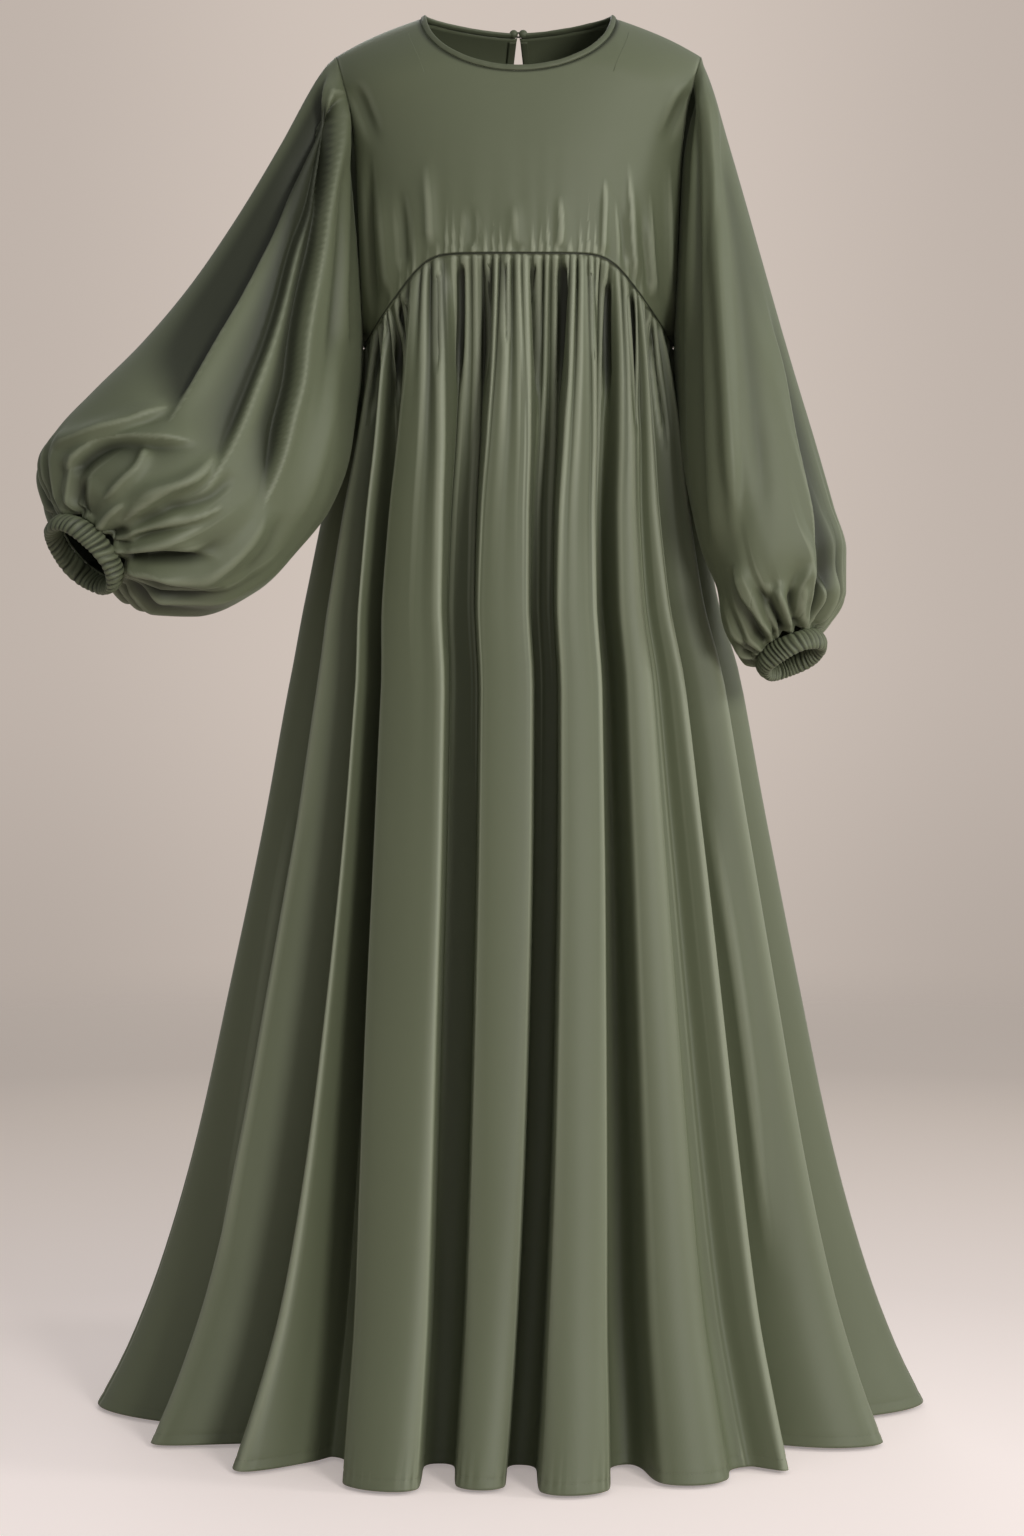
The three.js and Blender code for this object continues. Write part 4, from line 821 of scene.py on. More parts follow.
def bodice_back(name, thickness):
    """The back opens down its middle for the keyhole: its columns part there and draw together round it."""
    bottom = KEYHOLE_LENGTH / (BACK_NECK_HEIGHT - SEAM_TOP_HEIGHT)
    upper = bottom * (1 - (1 - np.linspace(0, 1, 46)) ** 1.7)
    rows_down = np.concatenate([upper, np.linspace(bottom, 1, 78)[1:]])
    count = 86
    half = np.linspace(0, 1, count)
    across_row = np.concatenate([-half[::-1], half])
    sides = np.concatenate([-np.ones(count), np.ones(count)])
    across, down = np.meshgrid(across_row, rows_down)
    points = bodice_point("back", across, down)
    share = np.clip((BACK_NECK_HEIGHT - points[..., 2]) / KEYHOLE_LENGTH, 0, 1)
    opening = keyhole_half_width(share) * (share < 1)
    x = points[..., 0] + sides * opening * np.exp(-((points[..., 0] / 17) ** 2))
    points = np.stack([x, bodice_y(x, points[..., 2], "back") + GAP / 2, points[..., 2]], -1)
    above = points[..., 2] - seam_height(points[..., 0])
    pucker = (seam_pucker(points[..., 0], above, 9.5, 1.0, 13, 7)
              + seam_pucker(points[..., 0], above, 25, 0.9, 40, 8))
    shaped, relief = creased(points, False, 1, back=BODICE_BACK_CREASES, extra=pucker * ease(above / 3 + 0.2))
    middle_rows = len(upper) - 1
    left, right = shaped[middle_rows:, count - 1], shaped[middle_rows:, count]
    joined = (left + right) / 2
    shaped[middle_rows:, count - 1] = shaped[middle_rows:, count] = joined
    rows, columns = across.shape
    faces = grid_faces(rows, columns)
    faces = faces[faces[:, 0] % columns != count - 1]
    index = np.arange(rows * columns).reshape(rows, columns)
    index[middle_rows:, count] = index[middle_rows:, count - 1]
    faces = index.ravel()[faces]
    used, inverse = np.unique(faces, return_inverse=True)
    faces = inverse.reshape(faces.shape)
    # Marks for a painted highlight on the crests and painted shade in the folds.
    return cloth(name, shaped.reshape(-1, 3)[used], faces, arc_uvs(shaped)[used], thickness, 1,
                 crest_across(shaped, False, 1)[used], painted_fold_shade(relief)[used])


def fold_columns(start, end):
    """Places along the folds for a grid's columns, closer together where there are more gathers."""
    marks = np.arange(math.floor(start), math.ceil(end) + 1)
    share = FOLDS[marks[:-1] % len(FOLDS), 5] * COLUMNS_PER_GATHER + COLUMNS_PER_FOLD
    run = np.concatenate([[0], np.cumsum(share)])
    first, last = np.interp([start, end], marks, run)
    return np.interp(np.linspace(first, last, int(last - first) + 1), run, marks)


def skirt_panel(name, side, start, end, thickness, hem_depth):
    """Half of the skirt from one side seam to the other. Its rows are close together over the gathers and at
    the hem, where a shallow groove with small ripples runs along a line of stitching."""
    down = np.concatenate([
        [0, 0.001, 0.002, 0.0033, 0.005, 0.0075, 0.011], np.linspace(0.015, 0.09, 18),
        np.linspace(0.1, 0.3, 21), np.linspace(0.325, 0.985, 36),
        [0.9895, 0.9905, 0.9915, 0.995, 0.998, 1.0]])
    folds, downs = np.meshgrid(fold_columns(start, end), down)
    points = skirt_grid(side, folds, downs)
    for edge in (slice(0, 1), slice(-1, None)):
        points[:, edge] -= np.array([GAP / 2, 0, 0]) * np.sign(points[:, edge, 0])[..., None]
    hem = points[..., 2] - HEM_HEIGHT
    groove = -0.45 * np.exp(-(((hem - hem_depth) / 1.6) ** 2))
    run = np.cumsum(np.linalg.norm(np.diff(points[-1], axis=0, prepend=points[-1, :1]), axis=1))
    ripple = seam_pucker(run[None, :], np.abs(hem - hem_depth) + 1, 11, 0.14, 9, 11)
    points, relief = creased(points, False, -1, SKIRT_CREASES, SKIRT_BACK_CREASES, extra=groove + ripple)
    # Painted shade in the folds and the gathers and as a dark line at the seam, and a painted highlight on
    # the crests.
    drop = seam_place(folds, side)[..., 2] - points[..., 2]
    relief = relief + gather_relief(gather_count(folds), drop)
    seam = np.exp(-((drop / SEAM_SHADE) ** 2)).ravel()
    return cloth(name, points.reshape(-1, 3), grid_faces(*folds.shape), arc_uvs(points), thickness, -1,
                 crest_across(points, False, -1), np.maximum(painted_fold_shade(relief), seam))


def sleeve(name, table, creases, edges, thickness, gathers, seed):
    """A balloon sleeve: its sections, closer together at both ends and on the front half, moved by the
    gathers at its cuff, the pleats at its cap, and its creases and fold edges."""
    along = np.concatenate([np.linspace(0, 0.05, 9), np.linspace(0.055, 0.8, 104), np.linspace(0.806, 1, 50)])
    angle = np.pi * np.concatenate([
        np.linspace(0, 1, 168, endpoint=False), np.linspace(1, 2, 84, endpoint=False)])
    angles, alongs = np.meshgrid(angle, along)
    points = sleeve_grid(table, angles, alongs)
    relief = sleeve_gathers(angles, alongs, gathers, seed)
    outwards = np.sign(table[0, 1])
    cap = cap_pleats(angles, alongs, seed)
    points, relief = creased(points, True, outwards, creases, behind(creases), edges, relief + cap)
    # A painted highlight on the crests, weaker on the sleeves, and painted shade in the folds and the
    # gathers.
    return cloth(name, points.reshape(-1, 3), grid_faces(*angles.shape, True), arc_uvs(points), thickness,
                 outwards, SLEEVE_HIGHLIGHT * crest_across(points, True, outwards), painted_fold_shade(relief))


def cap_pleats(angle, along, seed):
    """A few shallow pleats that spread down from the shoulder seam."""
    turn = np.where(angle > np.pi, angle - 2 * np.pi, angle)
    wave = np.cos(turn * 9 + 0.6 * seed) * np.exp(-((turn / 1.1) ** 2))
    return -1.6 * wave * ease(along / 0.03) * np.exp(-((along / 0.16) ** 1.5))


def behind(creases):
    """The same hand of creases for the side away from the eye: a little softer, lower and further in."""
    return [([(0.985 * x + 3, h - 14) for x, h in path], 1.3 * width, 0.3 * height, -lean, fade)
            for path, width, height, lean, fade in creases]


def cuff(name, table, half_height, half_thickness, ribs, seed):
    """An elastic cuff: a ring of rounded section whose casing puckers into uneven, slightly slanted ribs."""
    middle, upward, frontward, outward, radius, _ = (
        part[0] for part in sleeve_section(table, np.array([1.0])))
    angle, turn = np.meshgrid(np.linspace(0, 2 * np.pi, 340, endpoint=False),
                              np.linspace(0, 2 * np.pi, 30, endpoint=False), indexing="ij")
    slant = 0.35 * np.sin(turn) + 0.12 * np.sin(2 * turn + angle * 3)
    count = angle / (2 * np.pi) * ribs + slant
    count = count + 0.25 * np.sin(angle * 3 + seed) + 0.2 * np.sin(angle * 7 + seed)
    nearest = np.round(count)
    share = np.abs(count - nearest) * 2
    valley = (1 - share) ** 1.6
    which = np.mod(nearest, ribs)
    depth = 0.26 + 0.36 * chance(which, seed)
    swell = 1 - depth * valley
    fine = 0.05 * np.sin(count * 2 * np.pi * 2.5 + 3 * np.sin(turn))
    lip = 1 + 0.1 * np.sin(angle * 5 + seed) + 0.08 * np.sin(angle * 11 + 2 * seed)
    out = half_thickness * (swell + fine) * np.cos(turn) * lip
    run = half_height * (0.86 + 0.14 * swell) * np.sin(turn) * (1 + 0.05 * np.sin(angle * 4 + seed))
    radial = upward * np.cos(angle)[..., None] + frontward * np.sin(angle)[..., None]
    centre = middle + outward * (half_height + 0.8)
    points = centre + radial * (radius + out)[..., None] + outward * run[..., None]
    # Painted shade in the valleys between the ribs.
    return ring_mesh(name, points, 1.2, 2 * depth * valley)


def ring_mesh(name, points, wall=0.0, painted_shade_mask=0.0):
    """A closed tube: a grid whose two directions both come round again."""
    rows, columns = points.shape[:2]
    i, j = np.meshgrid(np.arange(rows), np.arange(columns), indexing="ij")
    i2, j2 = (i + 1) % rows, (j + 1) % columns
    quads = np.stack([i * columns + j, i2 * columns + j, i2 * columns + j2, i * columns + j2], -1)
    return tube_mesh(name, points.reshape(-1, 3), quads.reshape(-1, 4), NO_TRIANGLES, arc_uvs(points), wall,
                     np.ravel(painted_shade_mask))


def end_fans(rows, columns):
    """Triangles from a point at each end to the first and the last row. The two points follow the grid's."""
    j = np.arange(columns)
    k = (j + 1) % columns
    last = (rows - 1) * columns
    start = np.stack([np.full(columns, rows * columns), k, j], -1)
    stop = np.stack([np.full(columns, rows * columns + 1), last + j, last + k], -1)
    return np.vstack([start, stop])


def swept(name, path, first, second, section, wall=0.0):
    """A rounded section carried along a path between two directions, closed at both ends by a fan."""
    points = path[:, None] + first[:, None] * section[None, :, :1] + second[:, None] * section[None, :, 1:]
    rows, columns = points.shape[:2]
    flat = np.vstack([points.reshape(-1, 3), path[:1], path[-1:]])
    return tube_mesh(
        name, flat, grid_faces(rows, columns, True), end_fans(rows, columns), arc_uvs(points), wall)


def tube_mesh(name, points, quads, triangles, uvs, wall=0.0, painted_shade_mask=0.0):
    """A closed surface with its faces turned outwards, where its signed volume says that they aren't. With a
    wall it is a shell: a second surface lies that far inside and faces the space within."""
    a, b, c, d = (points[quads[:, i]] for i in range(4))
    volume = np.einsum("ij,ij->", a, np.cross(b, c)) + np.einsum("ij,ij->", a, np.cross(c, d))
    if volume < 0:
        quads, triangles = quads[:, ::-1], triangles[:, ::-1]
    corners = np.vstack([quads, triangles[:, [0, 1, 2, 2]]])
    normals = vertex_normals(points, corners)
    uvs = np.vstack([uvs, uvs[:1], uvs[-1:]])[:len(points)]
    # Marks for the material: no painted highlight, and painted shade as given.
    marks = {"painted_highlight_mask": np.zeros(len(points)), "painted_shade_mask": np.zeros(len(points)) + painted_shade_mask}
    if wall:
        shift = len(points)
        quads, triangles = (np.vstack([part, part[:, ::-1] + shift]) for part in (quads, triangles))
        points = np.vstack([points, points - normals * wall])
        uvs = np.vstack([uvs, uvs])
        marks = {mark: np.tile(values, 2) for mark, values in marks.items()}
    return make_mesh(name, points, quads, uvs, marks, triangles)


def rounded_section(width, height, sides=14, power=0.7):
    """A rounded oblong: a circle whose sine and cosine are raised to a power below one."""
    turn = (np.arange(sides) + 0.5) * 2 * np.pi / sides
    c, s = np.cos(turn), np.sin(turn)
    across, up = np.sign(c) * np.abs(c) ** power * width / 2, np.sign(s) * np.abs(s) ** power * height / 2
    return np.stack([across, up], -1)


def neck_edge(count=260, end=BINDING_END):
    """The neck edge from the back's opening round over the shoulders and the front: points and outward
    directions of the cloth there."""
    start = np.arcsin(end / NECK_HALF_WIDTH) / np.pi
    quarter = count // 4
    parts = [("back", np.linspace(start, 0.5, quarter)), ("front", np.linspace(0.5, -0.5, 2 * quarter)),
             ("back", np.linspace(-0.5, -start, quarter))]
    points, below, outs = [], [], []
    for i, (side, across) in enumerate(parts):
        keep = slice(None) if i == 0 else slice(1, None)
        points.append(bodice_point(side, across, np.zeros_like(across))[keep])
        below.append(bodice_point(side, across, np.full_like(across, 0.03))[keep])
        sign = -1.0 if side == "front" else 1.0
        outs.append(np.tile([0.0, sign, 1.0], (len(across), 1))[keep])
    points, below, outs = np.vstack(points), np.vstack(below), np.vstack(outs)
    along = unit(np.gradient(points, axis=0))
    normal = unit(np.cross(along, below - points))
    normal *= np.sign(np.einsum("ij,ij->i", normal, outs))[:, None]
    for _ in range(14):
        normal[1:-1] = unit(normal[:-2] + 2 * normal[1:-1] + normal[2:])
    return points, along, normal


def neck_binding(name, height, thickness, gap):
    """The binding stands on the neck edge as a rounded strip that puckers a little along its stitching."""
    points, along, normal = neck_edge()
    up = np.cross(along, normal)
    up[:, 2] += 0.25 * np.abs(points[:, 0]) / NECK_HALF_WIDTH
    up = unit(up - along * np.einsum("ij,ij->i", up, along)[:, None])
    out = np.cross(along, up)
    run = np.cumsum(np.linalg.norm(np.diff(points, axis=0, prepend=points[:1]), axis=1))
    wave = 0.12 * np.sin(run / 3.1) * np.sin(run / 7.7 + 1) + 0.1 * np.sin(run / 5.3)
    centre = points + up * (height / 2 + gap + 0.3 * wave[:, None])
    return swept(name, centre, out * (1 + wave[:, None]), up, rounded_section(thickness, height), 0.9)


def keyhole_outline(outset, top, count=90):
    """The keyhole's outline down one side and up the other, moved outwards by a distance."""
    share = 1 - (1 - np.linspace(0, 1, count)) ** 1.6
    left = np.stack([keyhole_half_width(share) + outset, top - share * (KEYHOLE_LENGTH + outset)], -1)
    right = left[:-1][::-1] * np.array([-1, 1])
    return np.vstack([left, right])


def keyhole_facing(name, width, thickness):
    """A strip on the inside of the back, all round the keyhole, swelling a little across its middle."""
    rows = []
    for share in np.linspace(0, 1, 7):
        ring = keyhole_outline(1 + share * width, BACK_NECK_HEIGHT - 2)
        x, height = ring[:, 0], ring[:, 1]
        slope = bodice_y(x, height + 0.5, "back") - bodice_y(x, height - 0.5, "back")
        inwards = unit(np.stack([0 * x, -np.ones_like(x), slope], -1))
        on_back = np.stack([x, bodice_y(x, height, "back"), height], -1)
        swell = 0.35 * np.sin(np.pi * share)
        rows.append(on_back + inwards * (2.1 + swell))
    points = np.array(rows)
    faces = grid_faces(len(rows), points.shape[1])
    normals = vertex_normals(points.reshape(-1, 3), faces)
    outwards = 1 if normals[:, 1].mean() > 0 else -1
    return cloth(name, points.reshape(-1, 3), faces, arc_uvs(points), thickness, outwards)


def knob(name, centre, radius, seed):
    """A small covered ball: a sphere drawn in at the back, with fine gathers that run to that point."""
    columns, rows = 48, 22
    angle, polar = np.meshgrid(
        np.linspace(0, 2 * np.pi, columns, endpoint=False), np.linspace(0.04, np.pi - 0.04, rows))
    gathered = ease((np.pi - polar) / 1.6)
    r = radius * (1 - 0.05 * (1 - gathered) * (1 + np.cos(12 * angle + seed)))
    points = centre + np.stack([r * np.sin(polar) * np.cos(angle), -r * np.cos(polar) * 0.92,
                                r * np.sin(polar) * np.sin(angle)], -1)
    flat = np.vstack([points.reshape(-1, 3), points[0].mean(0)[None], points[-1].mean(0)[None]])
    return tube_mesh(name, flat, grid_faces(rows, columns, True), end_fans(rows, columns), arc_uvs(points))


def button_loop(name, centre, half_width, half_height, radius):
    """A narrow tube of cloth bent into an oval behind the button and the knot."""
    turn, around = np.meshgrid(np.linspace(0, 2 * np.pi, 96, endpoint=False),
                               np.linspace(0, 2 * np.pi, 12, endpoint=False), indexing="ij")
    twist = 0.06 * np.cos(around * 2 + turn * 22)
    out = (1 + twist) * radius * np.cos(around)
    points = np.stack([centre[0] + (half_width + out) * np.cos(turn), centre[1] - radius * np.sin(around),
                       centre[2] + (half_height + out) * np.sin(turn)], -1)
    return ring_mesh(name, points)


def stitches(name, path, normal, pitch, length, radius):
    """Thread lying on the cloth: a small pointed bead for every stitch along a line, set a pitch apart."""
    steps = np.linalg.norm(np.diff(path, axis=0), axis=1)
    run = np.concatenate([[0], np.cumsum(steps)])
    at = np.arange(pitch, run[-1] - pitch, pitch)
    centre = np.stack([np.interp(at, run, path[:, i]) for i in range(3)], -1)
    ahead = np.stack([np.interp(at + 0.5, run, path[:, i]) for i in range(3)], -1)
    along = unit(ahead - centre)
    up = unit(np.stack([np.interp(at, run, normal[:, i]) for i in range(3)], -1))
    side = np.cross(along, up)
    stations, widths = np.array([-0.5, -0.28, 0.28, 0.5]), np.array([0.35, 1, 1, 0.35])
    turn = np.arange(5) * 2 * np.pi / 5
    ring = (along[:, None, None] * (stations * length)[None, :, None, None]
            + side[:, None, None] * (widths[:, None] * np.cos(turn))[None, ..., None] * radius
            + up[:, None, None] * (widths[:, None] * np.sin(turn))[None, ..., None] * radius)
    points = (centre[:, None, None] + ring).reshape(len(at), -1, 3)
    one = grid_faces(4, 5, True)
    offsets = (np.arange(len(at)) * 20)[:, None, None]
    quads = (one[None] + offsets).reshape(-1, 4)
    caps = np.array([[4, 3, 2, 1, 0], [15, 16, 17, 18, 19]])
    ends = (caps[None] + offsets).reshape(-1, 5)
    mesh = bpy.data.meshes.new(name)
    mesh.from_pydata(place(points.reshape(-1, 3)).tolist(), [], quads.tolist() + ends.tolist())
    mesh.polygons.foreach_set("use_smooth", np.ones(len(mesh.polygons), bool))
    obj = bpy.data.objects.new(name, mesh)
    bpy.context.scene.collection.objects.link(obj)
    return obj


def socket_links(tree, pairs):
    for a, b in pairs:
        tree.links.new(a, b)


def crepe_material(name, colour, painted_highlight_colour, weave, sheen, roughness):
    """Crepe: two close shades in broad soft patches, a painted highlight on the crests and painted shade in
    the folds and along the seam and neck lines, a fine grain of twisted yarns as bump, and a soft sheen."""
    material = bpy.data.materials.new(name)
    material.use_nodes = True
    tree = material.node_tree
    nodes = tree.nodes
    shader = nodes["Principled BSDF"]
    shader.inputs["Sheen Weight"].default_value = sheen
    shader.inputs["Sheen Roughness"].default_value = 0.38
    shader.inputs["Sheen Tint"].default_value = (0.66, 0.74, 0.5, 1)
    shader.inputs["Specular IOR Level"].default_value = 0.36
    place_in = nodes.new("ShaderNodeTexCoord")
    broad = nodes.new("ShaderNodeTexNoise")
    broad.inputs["Scale"].default_value = 5.0
    broad.inputs["Detail"].default_value = 3.0
    tone = nodes.new("ShaderNodeMix")
    tone.data_type = "RGBA"
    tone.inputs["A"].default_value = (*[c * 0.95 for c in colour], 1)
    tone.inputs["B"].default_value = (*[c * 1.05 for c in colour], 1)
    # Painted highlight: the mark of the crests lightens the colour towards the highlight colour.
    painted_highlight_mask = nodes.new("ShaderNodeAttribute")
    painted_highlight_mask.attribute_name = "painted_highlight_mask"
    painted_highlight_range = nodes.new("ShaderNodeMapRange")
    painted_highlight_range.inputs["From Min"].default_value = 0.15
    painted_highlight_range.inputs["From Max"].default_value = 0.9
    painted_highlight_range.inputs["To Max"].default_value = 0.7
    painted_highlight = nodes.new("ShaderNodeMix")
    painted_highlight.data_type = "RGBA"
    painted_highlight.inputs["B"].default_value = (*painted_highlight_colour, 1)
    # Painted shade: the mark of the folds and of the seam and neck lines darkens the colour towards its
    # deepest painted shade.
    painted_shade_mask = nodes.new("ShaderNodeAttribute")
    painted_shade_mask.attribute_name = "painted_shade_mask"
    deep = ranged(nodes, 0, 1, 0, FOLD_SHADE)
    shaded = nodes.new("ShaderNodeMix")
    shaded.data_type = "RGBA"
    shaded.inputs["B"].default_value = (*[c * DARKEST_PAINTED_SHADE for c in colour], 1)
    grain = nodes.new("ShaderNodeTexNoise")
    grain.inputs["Scale"].default_value = 0.9 / weave
    grain.inputs["Detail"].default_value = 4.0
    warp, weft = nodes.new("ShaderNodeTexWave"), nodes.new("ShaderNodeTexWave")
    for wave, direction in ((warp, "X"), (weft, "Y")):
        wave.bands_direction = direction
        wave.inputs["Scale"].default_value = 0.314 / weave
        wave.inputs["Distortion"].default_value = 1.6
        wave.inputs["Detail"].default_value = 1.0
    cross = nodes.new("ShaderNodeMath")
    cross.operation = "ADD"
    relief = nodes.new("ShaderNodeMath")
    relief.operation = "MULTIPLY_ADD"
    relief.inputs[1].default_value = 1.5
    bump = nodes.new("ShaderNodeBump")
    bump.inputs["Strength"].default_value = 0.12
    bump.inputs["Distance"].default_value = weave * 0.5
    rough = nodes.new("ShaderNodeMapRange")
    rough.inputs["To Min"].default_value = roughness - 0.05
    rough.inputs["To Max"].default_value = roughness + 0.05
    socket_links(tree, [
        (place_in.outputs["Object"], broad.inputs["Vector"]),
        (place_in.outputs["UV"], grain.inputs["Vector"]),
        (place_in.outputs["UV"], warp.inputs["Vector"]),
        (place_in.outputs["UV"], weft.inputs["Vector"]),
        (broad.outputs["Fac"], tone.inputs["Factor"]),
        (tone.outputs["Result"], painted_highlight.inputs["A"]),
        (painted_highlight_mask.outputs["Fac"], painted_highlight_range.inputs["Value"]),
        (painted_highlight_range.outputs["Result"], painted_highlight.inputs["Factor"]),
        (painted_shade_mask.outputs["Fac"], deep.inputs["Value"]),
        (deep.outputs["Result"], shaded.inputs["Factor"]),
        (painted_highlight.outputs["Result"], shaded.inputs["A"]),
        (shaded.outputs["Result"], shader.inputs["Base Color"]),
        (warp.outputs["Fac"], cross.inputs[0]),
        (weft.outputs["Fac"], cross.inputs[1]),
        (grain.outputs["Fac"], relief.inputs[0]),
        (cross.outputs["Value"], relief.inputs[2]),
        (relief.outputs["Value"], bump.inputs["Height"]),
        (bump.outputs["Normal"], shader.inputs["Normal"]),
        (grain.outputs["Fac"], rough.inputs["Value"]),
        (rough.outputs["Result"], shader.inputs["Roughness"]),
    ])
    return material


def finish_piece(obj, material, slot, *nodes):
    """Every piece rides on the garment's one body, takes a slot, and stands for the nodes it covers. Its slot
    argument is not used.
    """
    obj.data.materials.append(material)
    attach(obj, "root")
    if nodes:
        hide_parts(*nodes)
    return obj


def linear(rgb):
    """A display colour, nought to 255, as linear light."""
    c = np.array(rgb, float) / 255
    return tuple(np.where(c <= 0.04045, c / 12.92, ((c + 0.055) / 1.055) ** 2.4).tolist())


class AbayaCloth(bpy.types.PropertyGroup):
    """The crepe itself"""
    thickness: bpy.props.FloatProperty(
        name="Cloth thickness", description="Thickness of one wall of cloth", default=0.0012, unit="LENGTH")
    weave: bpy.props.FloatProperty(
        name="Yarn spacing", description="Distance between two yarns of the crepe", default=0.0007,
        unit="LENGTH")
    colour: bpy.props.FloatVectorProperty(
        name="Crepe colour", description="Colour of the cloth", subtype="COLOR",
        default=linear((103, 109, 85)))
    # The colour of the painted highlight along the cloth's crests.
    painted_highlight_colour: bpy.props.FloatVectorProperty(
        name="Crest colour", description="Colour of the cloth along its crests", subtype="COLOR",
        default=linear((152, 157, 134)))
    thread_colour: bpy.props.FloatVectorProperty(
        name="Thread colour", description="Colour of the stitching", subtype="COLOR",
        default=linear((98, 103, 84)))
    sheen: bpy.props.FloatProperty(
        name="Sheen", description="How much light the crepe catches at its edges", default=0.16, min=0, max=1)
    roughness: bpy.props.FloatProperty(
        name="Roughness", description="How dull the crepe is", default=0.5, min=0, max=1)


class AbayaSkirt(bpy.types.PropertyGroup):
    """The skirt"""
    hem_depth: bpy.props.FloatProperty(
        name="Hem depth", description="Height of the hem's stitching above its edge", default=0.01,
        unit="LENGTH")


class AbayaSleeves(bpy.types.PropertyGroup):
    """The balloon sleeves and their cuffs"""
    gathers: bpy.props.IntProperty(
        name="Gathers", description="Gathers round the end of a sleeve", default=20, min=8)
    ribs: bpy.props.IntProperty(
        name="Cuff ribs", description="Puckers round an elastic cuff", default=40, min=8)
    cuff_half_height: bpy.props.FloatProperty(
        name="Cuff half height", description="Half the length of a cuff along the arm", default=0.0115,
        unit="LENGTH")
    cuff_half_thickness: bpy.props.FloatProperty(
        name="Cuff half thickness", description="Half the thickness of a cuff's roll", default=0.0068,
        unit="LENGTH")


class AbayaTrim(bpy.types.PropertyGroup):
    """The binding, the fastening and the stitching"""
    binding_height: bpy.props.FloatProperty(
        name="Binding height", description="Height of the neck binding", default=0.006, unit="LENGTH")
    binding_thickness: bpy.props.FloatProperty(
        name="Binding thickness", description="Thickness of the folded binding", default=0.0034,
        unit="LENGTH")
    facing_width: bpy.props.FloatProperty(
        name="Facing width", description="Width of the strip round the keyhole", default=0.007, unit="LENGTH")
    button_radius: bpy.props.FloatProperty(
        name="Button radius", description="Radius of the covered button", default=0.0045, unit="LENGTH")
    stitch: bpy.props.FloatProperty(
        name="Stitch length", description="Length of one visible stitch", default=0.0022, unit="LENGTH")


class AbayaStage(bpy.types.PropertyGroup):
    """The studio that the garment stands in"""
    floor_colour: bpy.props.FloatVectorProperty(
        name="Floor colour", description="Colour of the studio floor", subtype="COLOR",
        default=linear((240, 228, 224)))
    backdrop_colour: bpy.props.FloatVectorProperty(
        name="Backdrop colour", description="Colour of the studio backdrop", subtype="COLOR",
        default=linear((193, 181, 172)))
    key_power: bpy.props.FloatProperty(
        name="Key light", description="Power of the key light", default=95, unit="POWER")
    side_power: bpy.props.FloatProperty(
        name="Side light", description="Power of the side light", default=40, unit="POWER")
    fill_power: bpy.props.FloatProperty(
        name="Fill light", description="Power of the fill light", default=20, unit="POWER")
    ambient: bpy.props.FloatProperty(
        name="Ambient", description="Share of the backdrop's brightness that lights the cloth", default=0.9)
    ambient_slant: bpy.props.FloatProperty(
        name="Ambient slant", description="How much more of that light comes from +X than from -X",
        default=0.5)


def crepe():
    """The crepe of the panels, made once."""
    found = bpy.data.materials.get("sage_crepe")
    if found:
        return found
    c = bpy.context.scene.abaya_cloth
    return crepe_material("sage_crepe", c.colour, c.painted_highlight_colour, c.weave, c.sheen, c.roughness)


def trim():
    """The same crepe a shade darker, for the pieces at the neck, made once."""
    found = bpy.data.materials.get("sage_trim")
    if found:
        return found
    c = bpy.context.scene.abaya_cloth
    darker = [TRIM_SHADE * part for part in c.colour]
    return crepe_material("sage_trim", darker, c.colour, c.weave, 0.1, c.roughness)


def thread():
    """The thread of the stitching, made once."""
    found = bpy.data.materials.get("sage_thread")
    if found:
        return found
    c = bpy.context.scene.abaya_cloth
    return crepe_material("sage_thread", c.thread_colour, c.painted_highlight_colour, 0.0003, 0.15, 0.45)


class ABAYA_OT_bodice(bpy.types.Operator):
    """Builds the two bodice panels"""
    bl_idname = "abaya.bodice"
    bl_label = "Bodice"

    def execute(self, context):
        thickness = context.scene.abaya_cloth.thickness / MM
        front = finish_piece(bodice_front("bodice_front_cloth", thickness), crepe(), "crepe", "bodice_front")
        back = finish_piece(bodice_back("bodice_back_cloth", thickness), crepe(), "crepe", "bodice_back")
        return {"FINISHED"}


class ABAYA_OT_skirt(bpy.types.Operator):
    """Builds the gathered skirt's front and back panels"""
    bl_idname = "abaya.skirt"
    bl_label = "Skirt"

    def execute(self, context):
        scene = context.scene
        thickness, hem = scene.abaya_cloth.thickness / MM, scene.abaya_skirt.hem_depth / MM
        front = skirt_panel("skirt_front_cloth", "front", *FRONT_PANEL, thickness, hem)
        finish_piece(front, crepe(), "crepe", "skirt_front")
        back = skirt_panel("skirt_back_cloth", "back", *BACK_PANEL, thickness, hem)
        finish_piece(back, crepe(), "crepe", "skirt_back")
        return {"FINISHED"}


class ABAYA_OT_sleeves(bpy.types.Operator):
    """Builds the two balloon sleeves"""
    bl_idname = "abaya.sleeves"
    bl_label = "Sleeves"

    def execute(self, context):
        scene = context.scene
        thickness, gathers = scene.abaya_cloth.thickness / MM, scene.abaya_sleeves.gathers
        right = sleeve("sleeve_right_cloth", RIGHT_SLEEVE, RIGHT_SLEEVE_CREASES, RIGHT_SLEEVE_EDGES,
                       thickness, gathers, 4)
        left = sleeve("sleeve_left_cloth", LEFT_SLEEVE, LEFT_SLEEVE_CREASES, LEFT_SLEEVE_EDGES, thickness,
                      gathers, 9)
        finish_piece(right, crepe(), "crepe", "sleeve_right")
        finish_piece(left, crepe(), "crepe", "sleeve_left")
        return {"FINISHED"}


